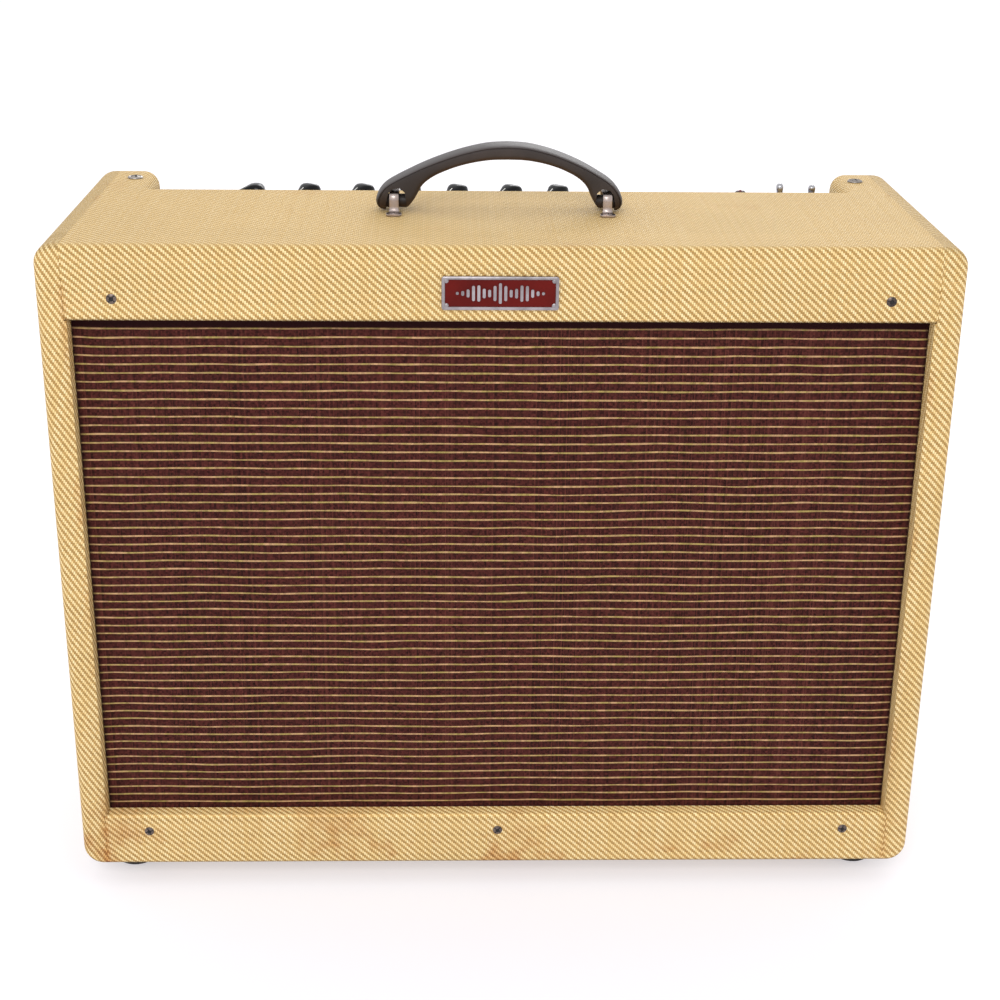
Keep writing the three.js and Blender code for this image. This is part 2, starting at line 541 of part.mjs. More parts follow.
// A panel between the sides that follows the slope of the back, just inside the rear edges.
const PANEL_BOARD = 9;
const PANEL_INSET = 2;
function backPanel(z0, z1) {
  const rear = (z) => rearAt(z) - PANEL_INSET;
  const section = outline([
    [rear(z0) - PANEL_BOARD, z0], [rear(z0), z0], [rear(z1), z1], [rear(z1) - PANEL_BOARD, z1],
  ]);
  return prismX(section, -inner, inner);
}
add("upper_back_panel", backPanel(345, PANEL_TOP - PANEL - 1.2), FINISH.tweed);
add("lower_back_panel", backPanel(BOARD + GAP, 190), FINISH.tweed);

export default amplifier;
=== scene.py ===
"""The looks of a tweed-covered guitar combo amplifier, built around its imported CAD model.

Sizes inside the cabinet are in millimetres in the cabinet's own places: x from the centre, y behind
the front face, z above the cabinet's underside. cab() turns such a place into the frame's metres.
"""
import json
from math import ceil, cos, hypot, pi, radians, sin, sqrt

import bmesh
import bpy
from mathutils import Matrix, Vector, noise


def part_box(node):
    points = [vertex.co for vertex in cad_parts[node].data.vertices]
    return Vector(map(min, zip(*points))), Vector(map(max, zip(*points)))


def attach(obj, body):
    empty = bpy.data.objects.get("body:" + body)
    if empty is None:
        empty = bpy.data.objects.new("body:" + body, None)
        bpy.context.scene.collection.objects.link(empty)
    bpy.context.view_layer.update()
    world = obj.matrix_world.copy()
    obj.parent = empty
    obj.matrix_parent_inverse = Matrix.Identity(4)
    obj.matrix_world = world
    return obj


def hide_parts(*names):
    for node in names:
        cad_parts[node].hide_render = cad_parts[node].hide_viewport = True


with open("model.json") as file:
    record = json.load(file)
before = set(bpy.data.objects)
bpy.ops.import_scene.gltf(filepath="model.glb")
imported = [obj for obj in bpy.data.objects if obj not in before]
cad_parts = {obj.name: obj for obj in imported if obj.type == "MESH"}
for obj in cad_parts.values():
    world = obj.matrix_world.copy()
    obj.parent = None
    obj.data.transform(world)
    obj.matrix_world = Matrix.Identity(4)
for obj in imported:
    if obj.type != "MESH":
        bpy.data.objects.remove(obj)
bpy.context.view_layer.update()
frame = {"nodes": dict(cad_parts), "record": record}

MM = 0.001

# ---- places, from the frame
SIDE_LOW, SIDE_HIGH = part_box("side_left")
FRONT, BASE = SIDE_LOW.y, SIDE_LOW.z


def cab(x, y, z):
    return Vector((x * MM, FRONT + y * MM, BASE + z * MM))


def extent(node):
    """A CAD node's lowest and highest places in the cabinet, in millimetres."""
    return [[p.x / MM, (p.y - FRONT) / MM, (p.z - BASE) / MM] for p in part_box(node)]


def middle(node):
    return [(a + b) / 2 for a, b in zip(*extent(node))]


def upright(node):
    """The centre, the radius and the lowest and highest heights of a round node that stands upright."""
    (x0, y0, z0), (x1, y1, z1) = extent(node)
    return ((x0 + x1) / 2, (y0 + y1) / 2, 0), (x1 - x0) / 2, z0, z1


OUTER = -SIDE_LOW.x / MM
INNER = -SIDE_HIGH.x / MM
HEIGHT = (SIDE_HIGH.z - BASE) / MM
DEPTH = (SIDE_HIGH.y - FRONT) / MM
BOARD = OUTER - INNER
LEAN = 32 / 457  # how far the back leans forward with height
CORNER = 14  # rounding of the box's corners, seen from the front
EDGE = 6  # rounding of the front edges at the sides
RIM = 4.5  # rounding of the front edges at the top and the bottom, and of the back edges
LIP = 2.5  # rounding of the rails' edges beside the grille
SEAM = INNER + 1.6  # where the rails' cloth meets the sides', beside and past the rails
END = SEAM - 0.05
RAIL = extent("front_top_rail")[1][1]
TOP_RAIL_Z = extent("front_top_rail")[0][2] - 0.6
BOTTOM_RAIL_Z = extent("front_bottom_rail")[1][2]
PANEL_Z = extent("chassis")[1][2]
JOINTS = {joint["name"]: joint for joint in frame["record"]["behaviour"]["joints"]}


def rear_at(z):
    return DEPTH - z * LEAN


# ---- materials
def srgb(red, green, blue):
    """A colour given in 0 to 255 display values, as the linear colour that nodes take."""
    channels = [c / 255 for c in (red, green, blue)]
    linear = [c / 12.92 if c <= 0.04045 else ((c + 0.055) / 1.055) ** 2.4 for c in channels]
    return (*linear, 1.0)


def plug(tree, socket, value):
    if isinstance(value, Wire):
        tree.links.new(value.socket, socket)
    else:
        socket.default_value = value


def new_node(tree, kind, inputs, output=0, **settings):
    """One output of a new node. inputs gives wires or values by each input's name or place."""
    node = tree.nodes.new("ShaderNode" + kind)
    for name, value in settings.items():
        setattr(node, name, value)
    for name, value in inputs.items():
        plug(tree, node.inputs[name], value)
    return Wire(tree, node.outputs[output])


class Wire:
    """One output in a node tree. Arithmetic on wires adds math nodes."""

    def __init__(self, tree, socket):
        self.tree, self.socket = tree, socket

    def math(self, operation, *others):
        return new_node(self.tree, "Math", dict(enumerate((self, *others))), operation=operation)

    def flip(self):
        """One minus this."""
        return (self * -1) + 1

    def ridge(self):
        """How far this is from the middle between two whole numbers."""
        return (self.fract() - 0.5).absolute()

    def rises(self, low, high):
        """Smoothly 0 to 1 as this goes from low to high."""
        return new_node(self.tree, "MapRange", {"Value": self, "From Min": low, "From Max": high}, "Result",
                        interpolation_type="SMOOTHSTEP")


for method, operation in {"__add__": "ADD", "__sub__": "SUBTRACT", "__mul__": "MULTIPLY",
                          "__truediv__": "DIVIDE", "floor": "FLOOR", "fract": "FRACT", "sine": "SINE",
                          "absolute": "ABSOLUTE", "modulo": "MODULO", "at_most": "MINIMUM",
                          "below": "LESS_THAN"}.items():
    setattr(Wire, method, lambda self, *others, operation=operation: self.math(operation, *others))


class Look:
    """A material with one Principled shader, and the nodes that feed it."""

    def __init__(self, name, **constants):
        self.material = bpy.data.materials.new(name)
        self.material.use_nodes = True
        self.tree = self.material.node_tree
        self.inputs = self.tree.nodes["Principled BSDF"].inputs
        for name, value in constants.items():
            self.set(name.replace("_", " ").title().replace("Ior", "IOR"), value)
        self.place = self.node("TexCoord", {}, "Object")

    def set(self, name, value):
        plug(self.tree, self.inputs[name], value)

    def node(self, kind, inputs, output=0, **settings):
        return new_node(self.tree, kind, inputs, output, **settings)

    def split(self, vector):
        parts = self.node("SeparateXYZ", {0: vector}).socket.node.outputs
        return [Wire(self.tree, part) for part in parts]

    def join(self, x, y, z=0.0):
        return self.node("CombineXYZ", {0: x, 1: y, 2: z})

    def facing_up(self):
        """How far the surface faces up, before its body moves: 1 for a level top."""
        return self.split(self.node("TexCoord", {}, "Normal"))[2]

    def cloth_uv(self):
        return self.node("UVMap", {}, uv_map="cloth")

    def noise(self, vector, scale, detail=2.0, roughness=0.5):
        inputs = {"Vector": vector, "Scale": scale, "Detail": detail, "Roughness": roughness}
        return self.node("TexNoise", inputs)

    def cells(self, vector, scale):
        """Distance to the nearest of scattered points."""
        return self.node("TexVoronoi", {"Vector": vector, "Scale": scale}, "Distance")

    def random(self, x, y):
        """A value from 0 to 1 for each pair of whole numbers."""
        return self.node("TexWhiteNoise", {"Vector": self.join(x, y)}, "Value")

    def stretch(self, vector, x, y, z):
        return self.node("VectorMath", {0: vector, 1: (x, y, z)}, operation="MULTIPLY")

    def mix(self, share, first, second, blend="MIX"):
        return self.node("Mix", {0: share, 6: first, 7: second}, 2, data_type="RGBA", blend_type=blend)

    def shade(self, colour, amount):
        """The colour multiplied by a grey value."""
        return self.mix(1.0, colour, self.join(amount, amount, amount), "MULTIPLY")

    def surface(self, colour, rough, height, depth):
        """The finished material, in relief by depth metres where height is 1."""
        self.set("Base Color", colour)
        self.set("Roughness", rough)
        self.set("Normal", self.node("Bump", {"Height": height, "Distance": depth, "Strength": 1.0}))
        return self.material


UPRIGHT_YARN, LEVEL_YARN = 1.285 * MM, 1.2125 * MM  # spacing of the tweed's yarns


def tweed():
    """A lacquered 2/2 twill of cream and tan yarns, aged orange along its folds and lower edges."""
    look = Look("tweed", specular_ior_level=0.22)
    uv = look.cloth_uv()
    across, along = look.split(uv)[:2]
    wander = look.noise(uv, 38, 2) - 0.5
    drift = look.noise(look.stretch(uv, 1, 1.7, 1), 7, 1) - 0.5
    u = across / UPRIGHT_YARN + wander * 0.75 + drift * 1.6
    v = along / LEVEL_YARN + wander * 0.5
    column, row = u.floor(), v.floor()
    phase = ((column + row) / 4).fract() * 4  # 0 to 3: two upright yarns on top, then two level ones
    upright = phase.below(1.99)
    level = upright.flip()
    offset = upright * (u.fract() - 0.5) + level * (v.fract() - 0.5)
    travelled = (phase.modulo(2.0).floor() + upright * v.fract() + level * u.fract()) / 2
    crown = (offset * offset * -3.6) + 1
    height = crown * ((travelled * pi).sine() * 0.5 + 0.5)
    yarn = look.random(upright * column, level * row)
    fibre = look.noise(uv, 1900, 2)
    cream = look.mix(yarn, srgb(250, 225, 170), srgb(242, 210, 146))
    tan = look.mix(yarn, srgb(176, 138, 78), srgb(198, 158, 94))
    colour = look.mix(upright, tan, cream)

    # The weave's contrast is lower on the top, as in the photo.
    x, _, z = look.split(look.place)
    z = z - BASE
    up = look.facing_up()
    # Painted light: on level tops the weave's colours are mixed towards one even tan, standing in for light
    # from above flattening the twill.
    top_light_flattening = up.rises(0.55, 0.92) * z.rises(0.4, 0.42)
    colour = look.mix(top_light_flattening * 0.46, colour, srgb(222, 188, 130))

    # Orange stains gather along the corner seams and towards the floor.
    past_seam = x.absolute() - SEAM * MM
    seam, low = past_seam.absolute().rises(0.004, 0.0), z.rises(0.075, 0.0)
    patches = look.noise(look.place, 26, 3, 0.65).rises(0.5, 0.72)
    specks = look.noise(look.place, 90, 2, 0.6).rises(0.6, 0.75)
    blooms = look.noise(look.place, 14, 3, 0.7).rises(0.58, 0.8)
    stain = low * patches * 0.6 + seam * patches * 0.3 + seam * low * 0.3 + specks * low * 0.3 + blooms * 0.16
    colour = look.mix(stain.at_most(0.8), colour, srgb(205, 146, 74), "MULTIPLY")

    # Painted shade between the yarns, on the rounded corners beside the top where the sides' cloth laps over,
    # and on down-facing edges; painted light on the lower rail's ledge.
    aged = look.noise(look.place, 9, 3, 0.6)
    # Painted shade on the rounded corners past the seam, where the sides' cloth laps over the top.
    corner_shade = past_seam.rises(-0.0006, 0.0004) * up.rises(0.15, 0.6)
    # Painted light on the up-facing ledge of the lower rail.
    lit_ledge = up.rises(0.3, 0.8) * z.rises(0.07, 0.06)
    # Painted shade on down-facing edges, such as the bottom rounding and the top rail's lower lip.
    underneath = up.rises(-0.25, -0.65)
    # height * 0.26 is painted shade between the yarns; fibre and aged are the cloth's own unevenness.
    amount = height * 0.26 + fibre * 0.16 + aged * 0.16 + 0.64
    amount = amount + corner_shade * -0.15 + lit_ledge * 0.3 + underneath * -0.42
    return look.surface(look.shade(colour, amount), height * -0.12 + 0.66, height + fibre * 0.25, 0.00042)


GOLD_PITCH = 6.1  # spacing of the grille's gold threads
GOLD_FIRST = 399.1  # height of the highest one
THREAD, PICK = 0.86 * MM, 1.02 * MM  # spacing of its upright and level red threads


def grille():
    """A dark red cloth with raised gold threads. Its UV counts the gold threads straight."""
    look = Look("grille_cloth", specular_ior_level=0.12)
    uv = look.cloth_uv()
    across, up = look.split(uv)[:2]
    lines = up / (GOLD_PITCH * MM)
    gold = (lines.ridge() * GOLD_PITCH).rises(0.68, 0.42)
    which = lines.floor()
    threads, picks = across / THREAD, up / PICK
    rib, pick = threads.ridge(), picks.ridge()
    weave = (rib * rib * -2.6 + 1) * (pick * pick * -1.6 + 1)
    slub = look.random((across / 0.0016).floor(), (up / 0.00153).floor())
    fleck = look.random(threads.floor(), picks.floor()) * 0.4 + slub * 0.6
    thread = look.random(threads.floor(), 0.0)
    band = look.noise(look.join(across * 120, which), 1.0, 2, 0.6)
    red = look.mix(fleck, srgb(44, 11, 9), srgb(98, 46, 40))
    red = look.mix(band.rises(0.45, 0.8) * 0.4, red, srgb(62, 44, 28))
    red = look.mix(thread.rises(0.84, 1.0) * 0.35, red, srgb(112, 60, 50))
    dark_thread = thread.rises(0.3, 0.12) * 0.35
    cloud = look.noise(uv, 22, 3, 0.6)
    # Painted shade: weave darkens the red between its threads; cloud and dark_thread are the cloth's own
    # unevenness.
    red = look.shade(red, (weave * 0.6 + cloud * 0.4 + 0.16) * dark_thread.flip())
    tint = look.noise(look.join(across * 90, which * 3.7), 1.0, 2, 0.7)
    foil = look.mix(tint.rises(0.36, 0.64), srgb(160, 139, 80), srgb(188, 149, 108))
    twist = ((across / 0.0011 + up / 0.0014) * (2 * pi)).sine()
    bead = look.random((across / 0.0021).floor(), which)
    glint = look.noise(look.join(across * 160, which), 1.0, 2)
    foil = look.shade(foil, twist * 0.1 + glint * 0.5 + bead * 0.36 + 0.48)
    # The rails and the side boards keep the light off the cloth beside them.
    x, _, z = look.split(look.place)
    recess = (z - (BASE + TOP_RAIL_Z * MM)).rises(-0.0092, -0.0062) * 0.95
    beside = (x.absolute() - INNER * MM).rises(-0.004, 0.0) * 0.6
    colour = look.shade(look.mix(gold, red, foil), beside.flip())
    return look.surface(look.mix(recess, colour, srgb(32, 3, 5)), gold * -0.32 + 0.78,
                        gold * (twist * 0.12 + 0.3) + gold.flip() * weave * 0.5, 0.0004)


def wood():
    look = Look("board_wood", specular_ior_level=0.25)
    rings = look.noise(look.stretch(look.place, 3, 26, 26), 1.0, 4, 0.6)
    streak = look.noise(look.stretch(look.place, 12, 420, 420), 1.0, 3, 0.6)
    light = look.mix(rings.rises(0.35, 0.7), srgb(214, 184, 134), srgb(186, 148, 96))
    return look.surface(look.shade(light, streak * 0.3 + 0.78), streak * 0.2 + 0.6, streak, 0.0003)


def moulded(name, dark, light, rough, grain=420, depth=0.00005, **constants):
    """A moulded plastic, rubber or paint: two near tones, a fine grain and slow unevenness."""
    look = Look(name, **constants)
    fine, slow = look.noise(look.place, grain, 3, 0.6), look.noise(look.place, 22, 3, 0.6)
    tone = look.mix(slow.rises(0.3, 0.7), srgb(*dark), srgb(*light))
    return look.surface(look.shade(tone, fine * 0.24 + 0.88), slow * 0.16 + fine * 0.08 + rough - 0.12,
                        fine, depth)


def handle_skin():
    """Dark brown moulded rubber, lighter and greyer on top as painted light from above, and browner
    underneath.
    """
    look = Look("handle_skin", specular_ior_level=0.4)
    fine, slow = look.noise(look.place, 900, 3, 0.6), look.noise(look.place, 30, 3, 0.6)
    up = look.facing_up()
    tone = look.mix(slow.rises(0.3, 0.7), srgb(42, 34, 31), srgb(56, 46, 42))
    # Painted light: up-facing surfaces are mixed towards a light grey.
    tone = look.mix(up.rises(0.35, 0.95) * 0.75, tone, srgb(78, 72, 71))
    tone = look.mix(up.rises(-0.1, -0.8) * 0.6, tone, srgb(58, 30, 18))
    return look.surface(look.shade(tone, fine * 0.24 + 0.88), slow * 0.16 + fine * 0.08 + 0.36, fine, 0.00008)


def metal(name, dark, light, rough, scratch=(900, 60, 900), depth=0.00002, patches=0.16):
    """A metal with fine drawn scratches and slightly worn patches."""
    look = Look(name, metallic=1.0)
    drawn = look.noise(look.stretch(look.place, *scratch), 1.0, 3, 0.6)
    worn = look.noise(look.place, 45, 4, 0.65)
    return look.surface(look.mix(worn.rises(0.3, 0.75), srgb(*light), srgb(*dark)),
                        drawn * 0.14 + worn * patches + rough - 0.05 - patches / 2, drawn, depth)


def laminations():
    look = Look("transformer_core", metallic=0.7)
    layers = (look.split(look.place)[1] / 0.0005).ridge()
    worn = look.noise(look.place, 60, 3)
    steel = look.mix(worn, srgb(70, 66, 62), srgb(48, 44, 42))
    return look.surface(look.shade(steel, layers * 0.8 + 0.6), worn * 0.2 + 0.4, layers, 0.0002)


def paper():
    look = Look("cone_paper", specular_ior_level=0.2)
    pulp, fleck = look.noise(look.place, 260, 4, 0.7), look.cells(look.place, 420)
    grey = look.mix(pulp, srgb(52, 49, 47), srgb(78, 73, 69))
    return look.surface(look.shade(grey, fleck * 0.5 + 0.75), pulp * 0.2 + 0.78, pulp + fleck * 0.4, 0.0003)


def clear(name, tint, ior):
    look = Look(name, transmission_weight=1.0, ior=ior)
    haze = look.noise(look.place, 60, 3)
    tones = srgb(*tint), srgb(*[min(255, c + 12) for c in tint])
    return look.surface(look.mix(haze, *tones), haze * 0.05 + 0.01, haze, 0.00004)


def circuit():
    look = Look("circuit_board")
    tracks = look.cells(look.stretch(look.place, 1, 1, 0), 170)
    resin = look.mix(tracks.rises(0.25, 0.35), srgb(150, 120, 62), srgb(120, 96, 48))
    return look.surface(resin, tracks * 0.2 + 0.4, tracks.rises(0.3, 0.4), 0.00006)


TWEED, GRILLE, WOOD, HANDLE_SKIN = tweed(), grille(), wood(), handle_skin()
NICKEL = metal("nickel", (140, 126, 120), (188, 174, 168), 0.34, depth=0.00004)
CHROME = metal("chrome", (172, 171, 174), (188, 187, 190), 0.19, (60, 900, 900), patches=0.05)
ZINC = metal("zinc_steel", (132, 132, 128), (178, 178, 172), 0.42, (40, 700, 700))
BLACK_STEEL = metal("black_steel", (54, 48, 45), (128, 114, 107), 0.34)
BLACK_PLASTIC = moulded("black_plastic", (6, 6, 7), (14, 14, 16), 0.22, specular_ior_level=0.2)
BLACK_PAINT = moulded("black_paint", (26, 25, 25), (40, 38, 37), 0.46, 300, 0.00008)
RUBBER = moulded("rubber", (20, 19, 19), (36, 34, 33), 0.82, 600, 0.0001)
ENAMEL = moulded("red_enamel", (82, 10, 6), (98, 16, 10), 0.4, 500, 0.00002, specular_ior_level=0.12)
WORN_NICKEL = metal("worn_nickel", (118, 110, 104), (182, 174, 167), 0.36, depth=0.00004)
# Painted shade: a near-black look laid in the screws' cross recesses, where shade falls.
RECESS = moulded("recess_painted_shade", (14, 12, 11), (32, 28, 26), 0.7)
SILVER = metal("silver_trim", (128, 122, 124), (176, 169, 172), 0.38, (900, 900, 900))
PRINT = moulded("panel_print", (16, 16, 18), (28, 28, 30), 0.5)
WHITE = moulded("white_line", (226, 224, 216), (240, 238, 232), 0.4)
FRAME_PAINT = moulded("frame_paint", (104, 106, 108), (132, 134, 136), 0.42, 220, 0.00012, metallic=0.35)
FERRITE = moulded("ferrite", (34, 33, 33), (52, 50, 50), 0.55, 500, 0.0001)
CORE, CONE, BOARD_LOOK = laminations(), paper(), circuit()
GLASS = clear("tube_glass", (236, 240, 242), 1.45)
JEWEL = clear("jewel_glass", (206, 28, 22), 1.5)


# ---- mesh helpers
HOME = Matrix.Translation(-cab(0, 0, 0))  # takes a piece built about the cabinet's zero to the frame's


def turned(degrees, axis="Z"):
    return Matrix.Rotation(radians(degrees), 4, axis)


def moved(made, matrix):
    made.data.transform(matrix)
    return made


def linked(name, data):
    made = bpy.data.objects.new(name, data)
    bpy.context.scene.collection.objects.link(made)
    return made


def smooth(mesh, sharp):
    mesh.shade_smooth()
    mesh.set_sharp_from_angle(angle=radians(sharp))


def mesh_object(name, vertices, faces, looks, uvs=None, face_looks=None, sharp=40):
    """A piece from places in metres. uvs are one (u, v) in millimetres for each vertex."""
    mesh = bpy.data.meshes.new(name)
    mesh.from_pydata([tuple(v) for v in vertices], [], faces)
    for look in looks if isinstance(looks, list) else [looks]:
        mesh.materials.append(look)
    if face_looks:
        mesh.polygons.foreach_set("material_index", face_looks)
    if uvs:
        layer = mesh.uv_layers.new(name="cloth")
        for loop in mesh.loops:
            layer.data[loop.index].uv = [c * MM for c in uvs[loop.vertex_index]]
    work = bmesh.new()
    work.from_mesh(mesh)
    bmesh.ops.recalc_face_normals(work, faces=work.faces)
    work.to_mesh(mesh)
    work.free()
    smooth(mesh, sharp)
    return linked(name, mesh)


def joined(name, parts):
    """Several pieces of one body and slot as one piece."""
    with bpy.context.temp_override(active_object=parts[0], selected_editable_objects=parts):
        bpy.ops.object.join()
    parts[0].name = parts[0].data.name = name
    return parts[0]


def cut_from(made, cutter, sharp):
    modifier = made.modifiers.new("cut", "BOOLEAN")
    modifier.operation, modifier.solver, modifier.object = "DIFFERENCE", "EXACT", cutter
    with bpy.context.temp_override(object=made, active_object=made):
        bpy.ops.object.modifier_apply(modifier="cut")
    bpy.data.objects.remove(cutter)
    if sharp:
        smooth(made.data, sharp)


def finish(made, body, slot, *nodes):
    if nodes:
        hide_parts(*nodes)
    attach(made, body)
    return made


def arc(steps, start=0.0, end=90.0):
    """Angles in radians from start to end degrees, ends included."""
    return [radians(start + (end - start) * i / steps) for i in range(steps + 1)]


def circle(steps):
    """The cosine and sine of each of so many equal turns."""
    return [(cos(2 * pi * i / steps), sin(2 * pi * i / steps)) for i in range(steps)]


def mirrored(points):
    """Points up one side and down the other."""
    return points + [(-a, b) for a, b in reversed(points)]


def quads(first, second, count):
    """The faces between two closed rows of vertices, from the rows' first numbers."""
    turns = [(i, (i + 1) % count) for i in range(count)]
    return [[first + i, first + j, second + j, second + i] for i, j in turns]


def lathe(name, profile, look, centre=(0, 0, 0), axis="z", segments=48, sharp=40):
    """A round solid from (radius, height) pairs in millimetres about a centre. The heights are along z,
    or back along y. A profile that does not start on the axis is a closed ring."""
    vertices, faces, rows = [], [], []
    for radius, height in profile:
        row = []
        for c, s in circle(segments if radius > 0 else 1):
            a, b = radius * c, radius * s
            place = (a, b, height) if axis == "z" else (a, height, b)
            row.append(len(vertices))
            vertices.append(cab(*[middle + part for middle, part in zip(centre, place)]))
        rows.append(row)
    if profile[0][0] > 0:
        rows.append(rows[0])
    for low, high in zip(rows, rows[1:]):
        for i in range(segments):
            j = i + 1
            corners = [low[i % len(low)], low[j % len(low)], high[j % len(high)], high[i % len(high)]]
            corners = list(dict.fromkeys(corners))
            if len(corners) > 2:
                faces.append(corners)
    return mesh_object(name, vertices, faces, look, sharp=sharp)


def rounded_box(name, low, high, radius, look, segments=3):
    work = bmesh.new()
    bmesh.ops.create_cube(work, size=1)
    for vertex in work.verts:
        vertex.co = cab(*[(a + b) / 2 + part * (b - a) for a, b, part in zip(low, high, vertex.co)])
    if radius:
        bmesh.ops.bevel(work, geom=work.edges[:], offset=radius * MM, segments=segments, profile=0.5,
                        affect="EDGES")
    mesh = bpy.data.meshes.new(name)
    work.to_mesh(mesh)
    work.free()
    mesh.materials.append(look)
    smooth(mesh, 50)
    return linked(name, mesh)


def loft(name, sections, looks, uvs=None, face_look=lambda i: 0, closed=False, sharp=40):
    """Joins equal closed sections one after another, and caps both ends unless it closes on itself.
    face_look picks a face's look by its place along the section."""
    count, last = len(sections[0]), len(sections) - 1
    faces = [face for s in range(last) for face in quads(s * count, (s + 1) * count, count)]
    if closed:
        faces += quads(last * count, 0, count)
    face_looks = [face_look(i % count) for i in range(len(faces))]
    if not closed:
        faces += [list(range(count)), [last * count + i for i in range(count)]]
        face_looks += [0, 0]
    flat_uvs = sum(uvs, []) if uvs else None
    return mesh_object(name, sum(sections, []), faces, looks, flat_uvs, face_looks, sharp)


def round_outline(half_x, half_z, radius, steps=6):
    """A rounded rectangle about its centre."""
    points = []
    for sx, sz, start in ((1, -1, -90), (1, 1, 0), (-1, 1, 90), (-1, -1, 180)):
        cx, cz = sx * (half_x - radius), sz * (half_z - radius)
        points += [(cx + radius * cos(a), cz + radius * sin(a)) for a in arc(steps, start, start + 90)]
    return points


# ---- cabinet boards
WRAP = 26  # width of the cloth folded inside the back edges


def side_outline():
    """The side board seen from the front: (outward x, z, outward normal, height along the cloth,
    share of the way from the corner's start to the seam on top, or below zero underneath)."""
    whole = CORNER * pi / 2 + OUTER - CORNER - END
    points = [(OUTER, z, 1, 0, z, 0) for z in (CORNER + 2, BOTTOM_RAIL_Z, BOTTOM_RAIL_Z + 0.4, HEIGHT / 2,
                                               TOP_RAIL_Z - 0.4, TOP_RAIL_Z, HEIGHT - CORNER - 2)]
    upper, lower = [], []
    for a in arc(10):
        nx, nz, share = cos(a), sin(a), CORNER * a / whole
        x, rise, v = OUTER - CORNER + CORNER * nx, CORNER * nz, CORNER * a
        upper.append((x, HEIGHT - CORNER + rise, nx, nz, HEIGHT - CORNER + v, share))
        lower.append((x, CORNER - rise, nx, -nz, CORNER - v, -share))
    upper.append((END, HEIGHT, 0, 1, HEIGHT - CORNER + whole, 1))
    lower.append((END, 0, 0, -1, CORNER - whole, -1))
    return lower[::-1] + points + upper


def side_section(x, z, nx, nz, v, share):
    """One loop round the side board, from the front inner edge outward and back along the inside:
    (x, y, z, u, v) with x and u growing outward."""
    edge = EDGE + (RIM - EDGE) * min(1, abs(share) * 1.4)

    def inner_z(limit):
        if share == 0:
            return z
        start, end = (HEIGHT - CORNER, HEIGHT - limit - 1) if share > 0 else (CORNER, limit + 1)
        return start + (end - start) * abs(share)

    fold = 0.02 + 0.6 * (1 - abs(share))  # rounding of the folds at the board's inner edges
    inner = SEAM if z <= BOTTOM_RAIL_Z or z >= TOP_RAIL_Z else INNER
    front_z, back_z, rear = inner_z(edge), inner_z(RIM), rear_at(z)
    loop = [(inner, RAIL + 0.2, front_z, inner - RAIL, front_z)]
    for a in arc(3):
        loop.append((inner + fold - fold * cos(a), fold - fold * sin(a), front_z,
                     inner - fold * (pi / 2 - 1) + fold * a, front_z))
    rim_x, rim_z = x - edge * nx, z - edge * nz
    loop.append((rim_x - nx, 0, rim_z - nz, rim_x - nx, rim_z - nz))
    side_u = OUTER - EDGE

    def along(o, y, travelled):
        """A place on the outside. Its cloth goes straight on over the front edge, then turns upright."""
        blend = min(1, max(0, (travelled - 4) / 34))
        blend = blend * blend * (3 - 2 * blend)
        ahead_u, ahead_v = rim_x + nx * travelled, rim_z + nz * travelled
        loop.append((x - o * nx, y, z - o * nz, ahead_u + (side_u + travelled - ahead_u) * blend,
                     ahead_v + (v - ahead_v) * blend))

    for a in arc(8):
        along(edge * (1 - sin(a)), edge * (1 - cos(a)), edge * a)
    wrapped = edge * pi / 2
    for y in (edge + 1.5, edge + 8, edge + 16, edge + 28, rear / 2, rear - RIM - 1.5):
        along(0, y, wrapped + y - edge)
    wrapped += rear - RIM - edge
    for a in arc(6):
        along(RIM * (1 - cos(a)), rear - RIM * (1 - sin(a)), wrapped + RIM * a)
    wrapped += RIM * pi / 2
    along(RIM + 1, rear, wrapped + 1)
    wrapped += x - RIM * nx - inner
    back = rear_at(back_z)
    for a in arc(3):
        loop.append((inner + fold - fold * sin(a), back - fold + fold * cos(a), back_z,
                     side_u + wrapped + fold * a, v))
    for x_in, y in ((0, back - WRAP), (0.45, back - WRAP - 0.1), (0.45, RAIL + 0.3)):
        loop.append((inner + x_in, y, back_z, side_u + wrapped + WRAP, v))
    return loop


def side_board(name, sign, node):
    loops = [side_section(*point) for point in side_outline()]
    sections = [[cab(sign * x, y, z) for x, y, z, u, v in loop] for loop in loops]
    lean = radians(13 if sign < 0 else 3)  # the sides' cloth is cut a little off its grain
    uvs = [[(sign * u * cos(lean) - v * sin(lean), sign * u * sin(lean) + v * cos(lean))
            for x, y, z, u, v in loop] for loop in loops]
    inside = len(loops[0]) - 2  # the face that runs back along the bare board
    made = loft(name, sections, [TWEED, WOOD], uvs, lambda i: int(i == inside), sharp=60)
    finish(made, "cabinet", "tweed", node)


WELL, WELL_Y = 251.5, 170.4  # half width and front of the opening over the control panel
FILLET = 8  # rounding of the opening's front corners, seen from above
PLAN_ROUND = 12  # rounding of the ears' corners, seen from above
EAR_ROUND = 11  # rounding of the ears' upper edges beside the opening
EAR_REAR = rear_at(HEIGHT)


